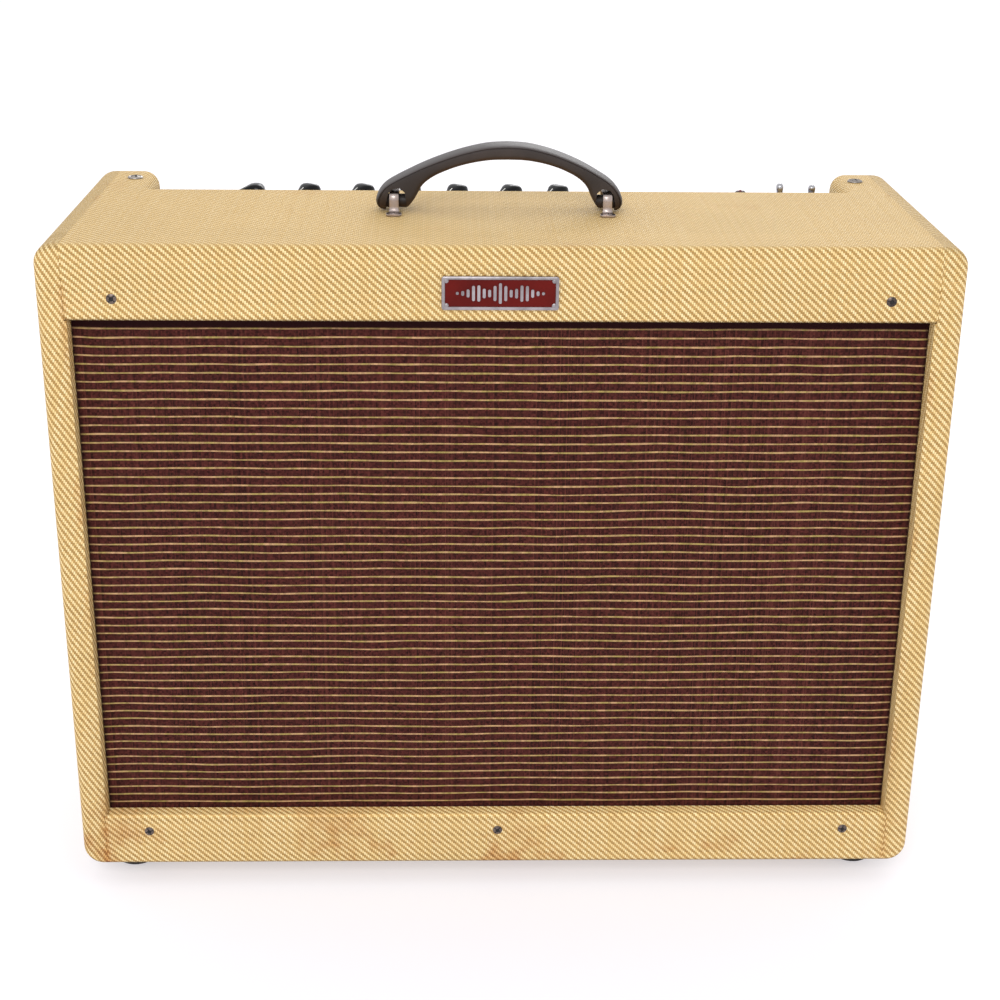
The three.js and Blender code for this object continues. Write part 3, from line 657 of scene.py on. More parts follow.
def well_outline():
    """The top board's rear edge seen from above, left to right, as (x, y, normal to the opening,
    rounding of the upper edge, share of the back's lean)."""
    left = [(-END, EAR_REAR, 0, 1, RIM, 1)]
    for a in arc(8, 90, 0):
        share = 1 - a / (pi / 2)
        left.append((-WELL - PLAN_ROUND * (1 - cos(a)), EAR_REAR - PLAN_ROUND * (1 - sin(a)), cos(a), sin(a),
                     RIM + (EAR_ROUND - RIM) * share, sin(a)))
    left += [(-WELL, y, 1, 0, EAR_ROUND, 0) for y in (EAR_REAR - 20, WELL_Y + FILLET + 8)]
    for a in arc(8, 180, 270):
        share = (a - pi) / (pi / 2)
        left.append((-WELL + FILLET * (1 + cos(a)), WELL_Y + FILLET * (1 + sin(a)), -cos(a), -sin(a),
                     EAR_ROUND + (RIM - EAR_ROUND) * share, 0))
    left += [(-WELL / 2, WELL_Y, 0, 1, RIM, 0)]
    right = [(-x, y, -nx, ny, r, lean) for x, y, nx, ny, r, lean in reversed(left)]
    return left + [(0, WELL_Y, 0, 1, RIM, 0)] + right


def top_board(name, *nodes):
    """The top board and the front's upper rail under one cloth: its front edge, a flat top, and the
    rounded edges of the opening and its two ears."""
    under = HEIGHT - BOARD
    vertices, uvs, faces = [], [], []

    def vertex(x, y, z, u, v):
        vertices.append(cab(x, y, z))
        uvs.append((u, v))
        return len(vertices) - 1

    def height_of(y):
        """Height along the cloth of a place on the flat top."""
        return HEIGHT + RIM * (pi / 2 - 1) + y - RIM

    ribbons = []
    for x, y, nx, ny, r, lean in well_outline():
        # Each ribbon's (distance in from the edge, height, way along the cloth), from the flat top down.
        drop = [(r + 1, HEIGHT, -1)]
        drop += [(r * (1 - sin(a)), HEIGHT - r * (1 - cos(a)), r * a) for a in arc(6)]
        drop += [(0, z, r * pi / 2 + HEIGHT - r - z) for z in (HEIGHT - r - 1, under)]
        ribbons.append([vertex(x - o * nx, y - o * ny + lean * (HEIGHT - z) * LEAN, z,
                               x - r * nx + nx * travelled, height_of(y - r * ny) + ny * travelled)
                        for o, z, travelled in drop])
    for left, right in zip(ribbons, ribbons[1:]):
        faces += [[left[i], right[i], right[i + 1], left[i + 1]] for i in range(len(left) - 1)]
    face_looks = [0] * len(faces)

    profile = [(RIM + 1, HEIGHT, height_of(RIM + 1))]
    profile += [(RIM * (1 - sin(a)), HEIGHT - RIM * (1 - cos(a)), height_of(RIM) - RIM * a) for a in arc(8)]
    profile += [(0, z, z) for z in (HEIGHT - RIM - 1, TOP_RAIL_Z + LIP + 1)]
    profile += [(LIP * (1 - cos(a)), TOP_RAIL_Z + LIP * (1 - sin(a)), TOP_RAIL_Z + LIP - LIP * a)
                for a in arc(5)]
    profile += [(RAIL, TOP_RAIL_Z, TOP_RAIL_Z - RAIL), (RAIL, under, TOP_RAIL_Z - RAIL - 10)]
    left, right = [[vertex(x, y, z, x, v) for y, z, v in profile] for x in (-END, END)]
    faces += [[left[i], right[i], right[i + 1], left[i + 1]] for i in range(len(profile) - 1)]
    face_looks += [0] * (len(profile) - 2) + [1]
    for i in (0, -1):
        faces.append([left[i], right[i]] + [ribbon[i] for ribbon in reversed(ribbons)])
    faces += [left + ribbons[0][::-1], right + ribbons[-1][::-1]]
    face_looks += [0, 1, 0, 0]
    made = mesh_object(name, vertices, faces, [TWEED, WOOD], uvs, face_looks, sharp=60)
    finish(made, "cabinet", "tweed", *nodes)


def bottom_board(name, *nodes):
    """The bottom board and the front's lower rail under one cloth."""
    loop = [(RAIL, BOTTOM_RAIL_Z)]
    loop += [(LIP * (1 - sin(a)), BOTTOM_RAIL_Z - LIP * (1 - cos(a))) for a in arc(5)]
    loop += [(0, BOTTOM_RAIL_Z - LIP - 1), (0, RIM + 1)]
    loop += [(RIM * (1 - cos(a)), RIM * (1 - sin(a))) for a in arc(8)]
    loop += [(RIM + 1, 0), (DEPTH - RIM - 1, 0)]
    loop += [(DEPTH - RIM + RIM * sin(a), RIM * (1 - cos(a))) for a in arc(5)]
    rear = rear_at(BOARD)
    loop += [(rear, BOARD - 1), (rear - 1, BOARD), (rear - WRAP, BOARD), (rear - WRAP - 0.2, BOARD - 0.45),
             (RAIL, BOARD - 0.45)]
    heights = [BOTTOM_RAIL_Z + RAIL]
    for (y0, z0), (y1, z1) in zip(loop, loop[1:]):
        heights.append(heights[-1] - hypot(y1 - y0, z1 - z0))
    sections = [[cab(x, y, z) for y, z in loop] for x in (-END, END)]
    uvs = [[(x, v) for v in heights] for x in (-END, END)]
    made = loft(name, sections, [TWEED, WOOD], uvs, lambda i: int(i >= len(loop) - 2), sharp=60)
    finish(made, "cabinet", "tweed", *nodes)


side_board("tweed_side_left", -1, "side_left")
side_board("tweed_side_right", 1, "side_right")
top_board("tweed_top", "top_board", "front_top_rail")
bottom_board("tweed_bottom", "bottom_board", "front_bottom_rail")


# ---- grille cloth and baffle
SPEAKER_Z = middle("speaker_magnet")[2]
HOLE = 141


def baffle():
    """The plywood baffle, with its round opening."""
    low, high = extent("baffle_board")
    board = rounded_box("baffle_plywood", low, high, 0, WOOD)
    front, back = low[1] - 1, high[1] + 1
    profile = [[0, front], [HOLE, front], [HOLE, back], [0, back]]
    cut_from(board, lathe("hole", profile, WOOD, (0, 0, SPEAKER_Z), "y", 96), 40)
    finish(board, "cabinet", "baffle_wood", "baffle_board")


def grille_cloth():
    """The cloth with its gold threads standing proud, each a little wavy as it is stretched."""
    (x0, y0, z0), (x1, _, z1) = extent("grille_cloth")
    columns, per_line = 96, 6
    first = GOLD_FIRST + GOLD_PITCH * 6.5
    vertices, uvs, faces = [], [], []
    count = (ceil((z1 - z0) / GOLD_PITCH) + 2) * per_line + 1
    rows = [z for z in (first - GOLD_PITCH * i / per_line for i in range(count)) if z0 <= z <= z1]
    for z in rows:
        line = (first - z) / GOLD_PITCH
        proud = 0.42 if abs(line % 1 - 0.5) < 0.1 else 0.0
        for i in range(columns + 1):
            x = x0 + (x1 - x0) * i / columns
            wave = noise.noise(Vector((x / 75, z / 90, 3.1))) * 0.9
            wave += noise.noise(Vector((x / 24, round(line) * 5.3, 8.2))) * 0.55
            edge = min(1, (x - x0) / 12, (x1 - x) / 12, (z - z0) / 12, (z1 - z) / 12)
            belly = noise.noise(Vector((x / 60, z / 60, 0.5))) * 0.15
            vertices.append(cab(x, y0 + 0.5 - proud + belly * edge, z + wave * edge))
            uvs.append((x, (1000 - line) * GOLD_PITCH))
    for r in range(len(rows) - 1):
        for a in range(r * (columns + 1), r * (columns + 1) + columns):
            faces.append([a, a + 1, a + columns + 2, a + columns + 1])
    made = mesh_object("grille_cloth_sheet", vertices, faces, GRILLE, uvs, sharp=180)
    finish(made, "cabinet", "grille_cloth", "grille_cloth")


baffle()
grille_cloth()


# ---- screws
def screw_head(name, radius, look, height):
    """An oval head with a cross recess coloured near black as painted shade, seated at z = 0 about the
    origin, in metres.
    """
    slots = 32
    shares = [0.16, 0.3, 0.42, 0.55, 0.7, 0.85, 0.95, 1.0]
    vertices, faces = [], []
    for share in shares:
        dome = height * (1 - share ** 2 * 0.8) if share < 1 else 0.0
        depth = height * 0.95 * max(0, 1 - share / 0.72)
        for i, (c, s) in enumerate(circle(slots)):
            sunk = share < 0.35 or i % 8 in (0, 1, 7)
            vertices.append((radius * share * c, radius * share * s, dome - depth * sunk))
    vertices += [(radius * 0.5 * c, radius * 0.5 * s, -1.4) for c, s in circle(slots)]
    neck = len(shares) * slots
    for r in range(len(shares)):
        faces += quads(r * slots, (r + 1) * slots, slots)
    # The recess faces take the painted shade look.
    face_looks = [int(i < 2 * slots or (i < 5 * slots and i % 8 in (0, 7))) for i in range(len(faces))]
    faces += [[len(vertices), i, (i + 1) % slots] for i in range(slots)] + [list(range(neck, neck + slots))]
    face_looks += [1] * slots + [0]
    vertices = [Vector(v) * MM for v in vertices + [(0, 0, height * 0.04)]]
    return mesh_object(name, vertices, faces, [look, RECESS], None, face_looks, sharp=35)


def facing(place, direction, spin=0.0):
    """The matrix that sets a +Z piece at a place, facing along a direction."""
    turn = Vector(direction).to_track_quat("Z", "Y").to_matrix().to_4x4()
    return Matrix.Translation(place) @ turn @ turned(spin)


def screw(name, radius, look, height, place, direction, spin, cup=None):
    """A screw head, on a cup washer if cup gives the washer's radius."""
    head = moved(screw_head(name, radius, look, height), facing(place, direction, spin))
    if not cup:
        return head
    profile = [[radius * 0.9, -0.6], [cup * 0.82, -0.3], [cup, 0.0], [cup - 0.2, 0.5], [cup * 0.8, 1.0],
               [radius * 1.02, 0.5], [radius * 0.9, -0.2]]
    ring = moved(lathe("cup", profile, look, segments=32), facing(place, direction) @ HOME)
    return joined(name, [head, ring])


for number in range(1, 6):
    node = f"baffle_screw_{number}"
    x, _, z = middle(node)
    place, spin = cab(x, -0.04, z), 17 + 31 * number
    head = screw(f"front_screw_{number}", 3.4, BLACK_STEEL, 1.1, place, (0, -1, 0), spin)
    finish(head, "cabinet", "blackened_steel", node)
for side in ("left", "right"):
    node = f"chassis_screw_{side}"
    x, y, _ = middle(node)
    place = cab(x, y - 2.5, HEIGHT + 0.5)
    head = screw(f"ear_screw_{side}", 3.6, WORN_NICKEL, 1.7, place, (0, 0, 1), 22, cup=5.6)
    finish(head, "cabinet", "chrome", node)


# ---- badge
def badge():
    """A red enamelled plate in a silver rim with four pins, and a row of bars like a level meter."""
    (x0, y0, z0), (x1, y1, z1) = extent("badge_plate")
    half_x, half_z, rim, back = (x1 - x0) / 2, (z1 - z0) / 2, 2.1, y1 - y0
    cx, cz = (x0 + x1) / 2 - 2.2, (z0 + z1) / 2  # nailed on a little to the left

    def plate(inset, radius, depth):
        outline = round_outline(half_x - inset, half_z - inset, radius)
        return [cab(cx + x, y0 + depth, cz + z) for x, z in outline]

    field = loft("badge_field", [plate(0.6, 1.2, 0.75), plate(0.6, 1.2, back)], ENAMEL)
    rings = [plate(0, 1.6, back), plate(0, 1.6, 0.35), plate(0.4, 1.4, 0), plate(rim - 0.3, 1.0, 0),
             plate(rim, 0.8, 0.3), plate(rim, 0.8, back)]
    trim = [loft("badge_rim", rings, SILVER, closed=True)]
    pin = [[0, -1.3], [1.0, -1.2], [1.5, -0.85], [1.7, 0.0], [0, 0.0]]
    pin_x, pin_z = half_x - 2.9, half_z - 2.9
    for x in (cx - pin_x, cx + pin_x):
        for z in (cz - pin_z, cz + pin_z):
            trim.append(lathe("pin", pin, SILVER, (x, y0 + 1.3, z), "y", 24))
    bars = 17
    for i in range(bars):
        share = i / (bars - 1) * 2 - 1
        swell = (1 - share * share) ** 0.6 * (0.62 + 0.38 * cos(share * 11))
        outline = round_outline(0.95, 1.0 + 5.8 * swell, 0.9, 3)
        trim.append(loft("bar", [[cab(cx + share * 27.5 + x, y0 + depth, cz + z) for x, z in outline]
                                 for depth in (0.25, 0.9)], SILVER))
    finish(field, "cabinet", "badge", "badge_plate")
    finish(joined("badge_trim", trim), "cabinet", "badge", "badge_plate")


badge()


# ---- feet
def foot(name, node):
    """A rubber foot, held by a screw in a steel washer in its hollow."""
    (cx, cy, _), r, z0, z1 = upright(node)
    tall = z1 - z0
    profile = [[0, 9.5], [5, 9.5], [5.2, 0.8], [6, 0], [r - 4, 0], [r - 2.6, 0.5], [r - 1.7, 1.8],
               [r - 0.3, tall - 3], [r, tall - 1], [r - 0.4, tall], [0, tall]]
    washer = [[0, 8.6], [4.4, 8.6], [4.6, 9], [4.6, 9.5], [0, 9.5]]
    parts = [lathe(name, profile, RUBBER, (cx, cy, z0), segments=64),
             lathe("washer", washer, NICKEL, (cx, cy, z0), segments=32),
             screw("foot_screw", 3.2, NICKEL, 1.2, cab(cx, cy, z0 + 8.6), (0, 0, -1), 20)]
    finish(joined(name, parts), "cabinet", "rubber", node)


for end in ("front", "rear"):
    for side in ("left", "right"):
        foot(f"foot_{end}_{side}_rubber", f"foot_{end}_{side}")


# ---- handle
HANDLE_Y, PIVOT_Z, FOOT_X = 103, 463.7, 72.5
HANDLE_OUTER = [(0, 503.6), (13, 502.8), (26, 500.1), (38, 496.4), (49, 492.1), (58, 487.9), (66, 483.6),
                (72.5, 479.9), (78.4, 475.9), (82.6, 471.2), (84.9, 465.8), (84.4, 461.6), (81.4, 458.6),
                (75, 457.5)]
HANDLE_INNER = [(0, 493.4), (12, 493), (24, 491.1), (34.5, 488.2), (43.5, 484.5), (49.5, 481.2), (54, 477.6),
                (56.8, 474), (58.4, 470.6), (60, 467.6), (62, 464.2), (64.4, 461), (67, 458.8), (71, 457.5)]
GRIP = 11  # half width of the grip
TILT = radians(max(abs(a) for a in JOINTS["handle_tilt"]["range_deg"]))


def smoothed(points, between):
    """Extra points on a curve through the given ones."""
    ends = [points[0]] + points + [points[-1]]
    dense = []
    for i in range(1, len(ends) - 2):
        a, b, c, d = [Vector(p) for p in ends[i - 1:i + 3]]
        for t in [step / between for step in range(between)]:
            dense.append(0.5 * (2 * b + (c - a) * t + (2 * a - 5 * b + 4 * c - d) * t * t
                                + (3 * b - 3 * c + d - a) * t * t * t))
    return dense + [Vector(points[-1])]


def whole_curve(points):
    """Both halves of a curve, its highest point drawn a little to the right by use."""
    half = smoothed(points, 5)
    whole = [(-p.x, p.y) for p in reversed(half[1:])] + [tuple(p) for p in half]
    return [Vector((x + 4.5 * max(0, 1 - (x / 80) ** 2) - max(0, x - FOOT_X) * 0.13, z)) for x, z in whole]


def handle_section(outer, inner):
    """The grip cut across: a low crown over a seam groove, upright sides and a soft lower edge. It
    narrows towards the cabinet, so that it can tilt."""
    thick = (inner - outer).length
    across = (inner - outer) / thick
    low = (outer.y + inner.y) / 2
    half = GRIP if low > 470 else GRIP * sqrt(1 - ((470 - low) / 13.2) ** 2)
    scale = min(1, thick / 8)
    crown = 1.9 * scale
    soft = min(3.2, (thick - crown) * 0.4)
    side = [((half - 0.1) * sin(a), crown * (1 - cos(a) ** 0.8)) for a in arc(8)[1:-1]]
    groove = half - 0.75 * scale
    side += [(half - 0.1, crown - 0.3 * scale), (half - 0.3, crown - 0.1 * scale), (groove, crown),
             (groove, crown + 0.35 * scale), (half - 0.1, crown + 0.7 * scale), (half, crown + 1.3 * scale)]
    side += [(half - soft * (1 - cos(a)), thick - soft * (1 - sin(a))) for a in arc(5)]
    section = []
    for w, t in [(0, 0)] + side + [(0, thick)] + [(-w, t) for w, t in reversed(side)]:
        z = outer.y + across.y * t
        room = max(0.4, (PIVOT_Z - HEIGHT - 0.4 + (z - PIVOT_Z) * cos(TILT)) / sin(TILT))
        section.append(cab(outer.x + across.x * t, HANDLE_Y + max(-room, min(room, w)), z))
    return section


def handle():
    """The moulded grip, with a slot in each foot round the bar that the strap holds."""
    sections = [handle_section(*pair) for pair in zip(whole_curve(HANDLE_OUTER), whole_curve(HANDLE_INNER))]
    grip = loft("handle_moulded_grip", sections, HANDLE_SKIN, sharp=35)
    slot = [[9.5, -8.4], [13.4, -7.2], [15.2, -3.8], [14.6, 1.6], [13.0, 3.8], [9.2, 5.6], [4.6, 5.6],
            [4.6, -8.4]]
    for end in (-1, 1):
        seat = Matrix.Translation(cab(end * FOOT_X, HANDLE_Y, PIVOT_Z)) @ turned(90 * end, "Y")
        cut_from(grip, moved(lathe("slot", slot, HANDLE_SKIN, segments=64), seat @ HOME), 35)
    finish(grip, "handle", "handle", "handle_grip")


def strap(name, x, node):
    """The steel strap over a handle foot: a rounded tongue and a screw at each end."""
    base = HEIGHT + 1.0
    rise = [(-21.8, 0, 2.6), (-21.5, 0, 3.8), (-20.4, 0, 4.9), (-18.2, 0, 5.3), (-15.4, 0, 5.1),
            (-13.9, 0, 4.1), (-12.8, 0.5, 3.4), (-12.1, 1.8, 3.15), (-12, 4, 3.1), (-12, 8, 3.1),
            (-11.7, 10.4, 3.15), (-10.8, 11.9, 3.15), (-9, 12.5, 3.15), (-4, 12.55, 3.15)]  # y, z, half width
    path = [(y, base + z, w) for y, z, w in rise] + [(-y, base + z, w) for y, z, w in reversed(rise)]
    thick, ease = 0.65, 0.3
    sections = []
    for i, (y, z, w) in enumerate(path):
        before, after = path[max(i - 1, 0)], path[min(i + 1, len(path) - 1)]
        along = Vector((after[0] - before[0], after[1] - before[1])).normalized()
        half = [(w, -thick + ease), (w, thick - ease), (w - ease, thick), (-w + ease, thick)]
        sections.append([cab(x + a, HANDLE_Y + y - b * along.y, z + b * along.x)
                         for a, b in half + [(-a, -b) for a, b in half]])
    parts = [loft(name, sections, NICKEL, sharp=45)]
    for end in (-1, 1):
        place = cab(x, HANDLE_Y + end * 17.6, base + 0.6)
        parts.append(screw("tongue_screw", 2.6, NICKEL, 0.8, place, (0, 0, 1), 30 + 20 * end))
    finish(joined(name, parts), "cabinet", "chrome", node)


handle()
strap("handle_strap_left", -FOOT_X, "handle_bracket_left")
strap("handle_strap_right", FOOT_X, "handle_bracket_right")

# ---- control panel
CONTROL_Y = middle("pilot_bezel")[1]
KNOB_ANGLES = (182, 232, 228, 240, 236, 226, 232, 244)
KNOB_X = [JOINTS[f"knob_{number}_turn"]["pos_m"][0] / MM for number in range(1, 9)]
TOGGLES = {kind: middle(f"{kind}_toggle")[0] for kind in ("standby", "power")}


def on_panel(x, up=0, y=CONTROL_Y):
    return x, y, PANEL_Z + up


def knob(number):
    """A pointer knob: a round skirt and a wedge that slopes down to its tip, with a white line."""
    skirt = [[0, 5.6], [7.4, 5.6], [7.4, 1.0], [9.4, 1.0], [9.7, 1.3], [9.7, 3.2], [9.4, 5.0], [8.8, 6.2],
             [8.0, 6.7], [0, 6.7]]
    stations = [(-8.8, 2.6, 7.4), (-8.5, 4.7, 9.8), (-7.6, 6.3, 12.6), (-5.8, 7.1, 14.4), (-3.2, 7.5, 15.1),
                (-0.6, 7.3, 15.2), (2.0, 6.5, 14.8), (5.0, 5.1, 13.4), (8.5, 3.6, 11.7), (12.0, 2.5, 10.1),
                (15.0, 1.7, 8.8), (16.2, 1.2, 8.1), (16.5, 0.7, 7.6)]  # along the wedge, half width, top
    sections = []
    for x, half, top in stations:
        floor = 4.5 + max(0, abs(x) - 9) * 0.18
        flank = [(half, floor), (half, floor + (top - floor) * 0.45), (half * 0.9, top - 1.5),
                 (half * 0.72, top - 0.5), (half * 0.4, top - 0.1)]
        sections.append([cab(x, y, z) for y, z in mirrored(flank)])
    line = [[cab(x, y, top + z) for y, z in mirrored([(0.42, -0.3), (0.36, 0.04)])]
            for x, top in ((5.0, 13.32), (8.5, 11.62), (12.0, 10.02), (15.6, 8.45))]
    parts = [lathe("skirt", skirt, BLACK_PLASTIC, segments=56),
             loft("pointer", sections, BLACK_PLASTIC, sharp=50), loft("line", line, WHITE)]
    seat = Matrix.Translation(cab(*on_panel(KNOB_X[number - 1]))) @ turned(KNOB_ANGLES[number - 1])
    made = moved(joined(f"knob_pointer_{number}", parts), seat @ HOME)
    finish(made, f"knob_{number}", "black_moulding", f"knob_{number}")


def nut(centre, tall, radius, hole, look):
    corner = radius / cos(pi / 6)
    profile = [[hole, 0], [corner, 0], [corner, tall - 0.35], [corner - 0.5, tall], [hole, tall]]
    return lathe("nut", profile, look, centre, segments=6, sharp=25)


def bolt_head(place, direction, tall, radius, look):
    return moved(nut((0, 0, 0), tall, radius, 0.02, look), facing(place, direction) @ HOME)


def bushing(x, radius, tall, bore):
    """A threaded bushing through the panel."""
    profile, pitch = [[radius, -1.5]], 0.7
    for i in range(int(tall / pitch)):
        profile += [[radius, i * pitch], [radius - 0.3, (i + 0.5) * pitch]]
    profile += [[radius, tall - 0.4], [radius - 0.4, tall], [bore + 0.3, tall], [bore, tall - 0.3],
                [bore, -1.5]]
    return lathe("bushing", profile, CHROME, on_panel(x), segments=32)


for number in range(1, 9):
    knob(number)

hardware = []
for x in KNOB_X:
    hardware += [bushing(x, 4.3, 4.6, 3.35), nut(on_panel(x, 0.3), 1.9, 6.2, 4.3, CHROME)]
for x in TOGGLES.values():
    hardware += [bushing(x, 5.2, 3.4, 3.9), nut(on_panel(x, 0.3), 2.0, 7, 5.2, CHROME)]
finish(joined("panel_bushings", hardware), "cabinet", "chrome", "control_board")


def circuit_board():
    """The board with the controls' bodies between it and the panel."""
    (x0, y0, z0), (x1, y1, _) = extent("control_board")
    near, far = (x0 + 0.2, y0 + 0.2, z0 + 0.2), (x1 - 0.2, y1 - 0.2, z0 + 2.0)
    parts = [rounded_box("board", near, far, 0.4, BOARD_LOOK)]
    top = PANEL_Z - 2.1 - z0
    pot = [[0, 2.4], [7.6, 2.4], [8, 3], [8, top - 0.8], [7.4, top], [0, top]]
    parts += [lathe("pot", pot, ZINC, (x, CONTROL_Y, z0), segments=32) for x in KNOB_X]
    for x in TOGGLES.values():
        near, far = (x - 6.3, CONTROL_Y - 10, z0 + 2.2), (x + 6.3, CONTROL_Y + 10, z0 + top)
        parts.append(rounded_box("switch", near, far, 1.0, BLACK_PAINT))
    finish(joined("control_circuit_board", parts), "cabinet", "circuit_board", "control_board")


circuit_board()

BAT = [[0, 0], [1.6, 0.2], [1.5, 3.5], [1.8, 5.6], [2.3, 7.6], [2.65, 9.6], [2.75, 11.2], [2.5, 12.6],
       [1.8, 13.6], [0.9, 14.1], [0, 14.2]]
for kind, x in TOGGLES.items():
    node = f"{kind}_toggle"
    lean = 13 if middle(node)[1] < CONTROL_Y else -13
    seat = Matrix.Translation(cab(*on_panel(x, 3.1))) @ turned(lean, "X")
    lever = moved(lathe(f"{kind}_bat_lever", BAT, CHROME, segments=32), seat @ HOME)
    finish(lever, f"{kind}_lever", "chrome", node)


def jack(name, node):
    """A jack socket's threaded collar and nut, dark inside."""
    (x, y, _), low = middle(node), extent(node)[0][2]
    parts = [bushing(x, 5.6, 3.6, 3.3), nut(on_panel(x, 0.3, y), 2.2, 7.4, 5.6, CHROME)]
    body = rounded_box("body", (x - 8, y - 8, low + 0.2), (x + 8, y + 8, PANEL_Z - 1.8), 0.8, BLACK_PLASTIC)
    bore = [[0, low + 1.5], [3.3, low + 1.5], [3.3, PANEL_Z + 5], [0, PANEL_Z + 5]]
    cut_from(body, lathe("bore", bore, BLACK_PLASTIC, (x, y, 0), segments=32), None)
    finish(joined(name, parts + [body]), "cabinet", "jack_metal", node)


for name in ("input_jack_1", "input_jack_2", "footswitch_jack"):
    jack(name + "_socket", name)
for kind in ("bright", "channel"):
    centre, _, low, high = upright(f"{kind}_button")
    profile = [[0, low], [2.9, low], [3.0, high - 1.2], [2.85, high - 0.4], [2.4, high - 0.05],
               [1.6, high - 0.2], [0, high - 0.35]]
    button = lathe(f"{kind}_push_button", profile, BLACK_PLASTIC, centre, segments=32)
    finish(button, f"{kind}_plunger", "black_moulding", f"{kind}_button")

PILOT_X = middle("pilot_bezel")[0]
bezel = [[7.2, 0.3], [9.5, 0.3], [9.6, 1.2], [9.2, 2.4], [8.6, 3.0], [8.5, 4.2], [8.1, 4.6], [6.6, 4.6],
         [6.3, 4.2], [6.3, 0.3]]
finish(lathe("pilot_lamp_bezel", bezel, CHROME, on_panel(PILOT_X)), "cabinet", "chrome", "pilot_bezel")


def jewel():
    """A faceted glass jewel over a lamp's reflector."""
    _, _, low, high = upright("pilot_jewel")
    low, high = low - PANEL_Z, high - PANEL_Z
    glass = [[0, low], [5.6, low], [6.05, low + 1.4], [6.05, 5.2], [5.4, 7.2], [4.4, high - 1.6],
             [2.8, high + 0.1], [0, high + 0.8]]
    cup = [[0, low + 0.6], [3.6, low + 0.6], [5.0, low + 2.4], [4.8, low + 2.4], [3.4, low + 1.0],
           [0, low + 0.9]]
    parts = [lathe("glass", glass, JEWEL, on_panel(PILOT_X), segments=16, sharp=5),
             lathe("cup", cup, SILVER, on_panel(PILOT_X), segments=32)]
    finish(joined("pilot_lamp_jewel", parts), "cabinet", "jewel", "pilot_jewel")


jewel()


def numeral(number, x, y, size):
    """A numeral printed on the panel, read from behind the amplifier."""
    curve = bpy.data.curves.new("numeral", "FONT")
    curve.body, curve.size, curve.align_x, curve.align_y = str(number), size * MM, "CENTER", "CENTER"
    curve.extrude = 0.03 * MM
    mark = linked("numeral", curve)
    mesh = bpy.data.meshes.new_from_object(mark.evaluated_get(bpy.context.evaluated_depsgraph_get()))
    bpy.data.objects.remove(mark)
    mesh.materials.clear()
    mesh.materials.append(PRINT)
    return moved(linked("numeral", mesh), Matrix.Translation(cab(*on_panel(x, 0.05, y))) @ turned(180))


def tick(x, y, length, width, angle):
    """A printed line, centred on a place on the panel."""
    made = rounded_box("tick", (-length / 2, -width / 2, 0.0), (length / 2, width / 2, 0.08), 0, PRINT)
    return moved(made, Matrix.Translation(cab(*on_panel(x, 0, y))) @ turned(angle) @ HOME)


DIAL_STEPS, TICK_RING, NUMERAL_RING = 12, 12.2, 15.8
FIRST_STEP, TRAVEL = 60, 300  # degrees
marks = []
for x in KNOB_X:
    for step in range(DIAL_STEPS):
        angle = FIRST_STEP - step * TRAVEL / (DIAL_STEPS - 1)
        c, s = cos(radians(angle)), sin(radians(angle))
        marks.append(tick(x + TICK_RING * c, CONTROL_Y + TICK_RING * s, 2.2, 0.5, angle))
        if step % 2 or step == 0:
            marks.append(numeral(step + 1, x + NUMERAL_RING * c, CONTROL_Y + NUMERAL_RING * s, 3.8))
for x in (-219, 122):  # the lines over the jacks and the buttons
    marks.append(tick(x, CONTROL_Y + 14, 18, 0.4, 0))
finish(joined("panel_dial_marks", marks), "cabinet", "black_moulding")


# ---- back panels
def cloth_flat_on(mesh):
    """Gives each face a cloth UV laid flat on it, along whichever plane it faces most."""
    layer = mesh.uv_layers.new(name="cloth")
    for face in mesh.polygons:
        most = max(range(3), key=lambda axis: abs(face.normal[axis]))
        first, second = [axis for axis in range(3) if axis != most]
        for index in face.loop_indices:
            place = mesh.vertices[mesh.loops[index].vertex_index].co
            layer.data[index].uv = (place[first], place[second])


def back_panel(name, node, margin=None):
    """A covered panel that leans with the cabinet's back, with its screws in cup washers: one row in
    the middle, or two at a margin from its edges."""
    (x0, _, z0), (x1, y1, z1) = extent(node)
    thick = 9
    made = rounded_box(name, (x0 + 0.1, 0, z0 + 0.1), (x1 - 0.1, thick, z1 - 0.1), 2.6, TWEED, 4)
    cloth_flat_on(made.data)
    rear = y1 + z0 * LEAN
    for vertex in made.data.vertices:
        z = (vertex.co.z - BASE) / MM
        vertex.co.y += (rear - thick - z * LEAN) * MM
    screws = []
    for x in (x0 + 18, x0 / 2, 0, x1 / 2, x1 - 18):
        for z in (z0 + margin, z1 - margin) if margin else ((z0 + z1) / 2,):
            place = cab(x, rear - z * LEAN - 0.6, z)
            screws.append(screw("screw", 3.2, NICKEL, 1.3, place, (0, 1, LEAN), x * 7 + z, cup=5.2))
    finish(made, "cabinet", "tweed", node)
    finish(joined(name + "_screws", screws), "cabinet", "chrome")


back_panel("tweed_back_upper", "upper_back_panel")
back_panel("tweed_back_lower", "lower_back_panel", 14)


# ---- valves and transformers
def ring_of(outer, inner, low, high):
    """The profile of a flat ring."""
    return [[inner, low], [outer, low], [outer, high], [inner, high]]


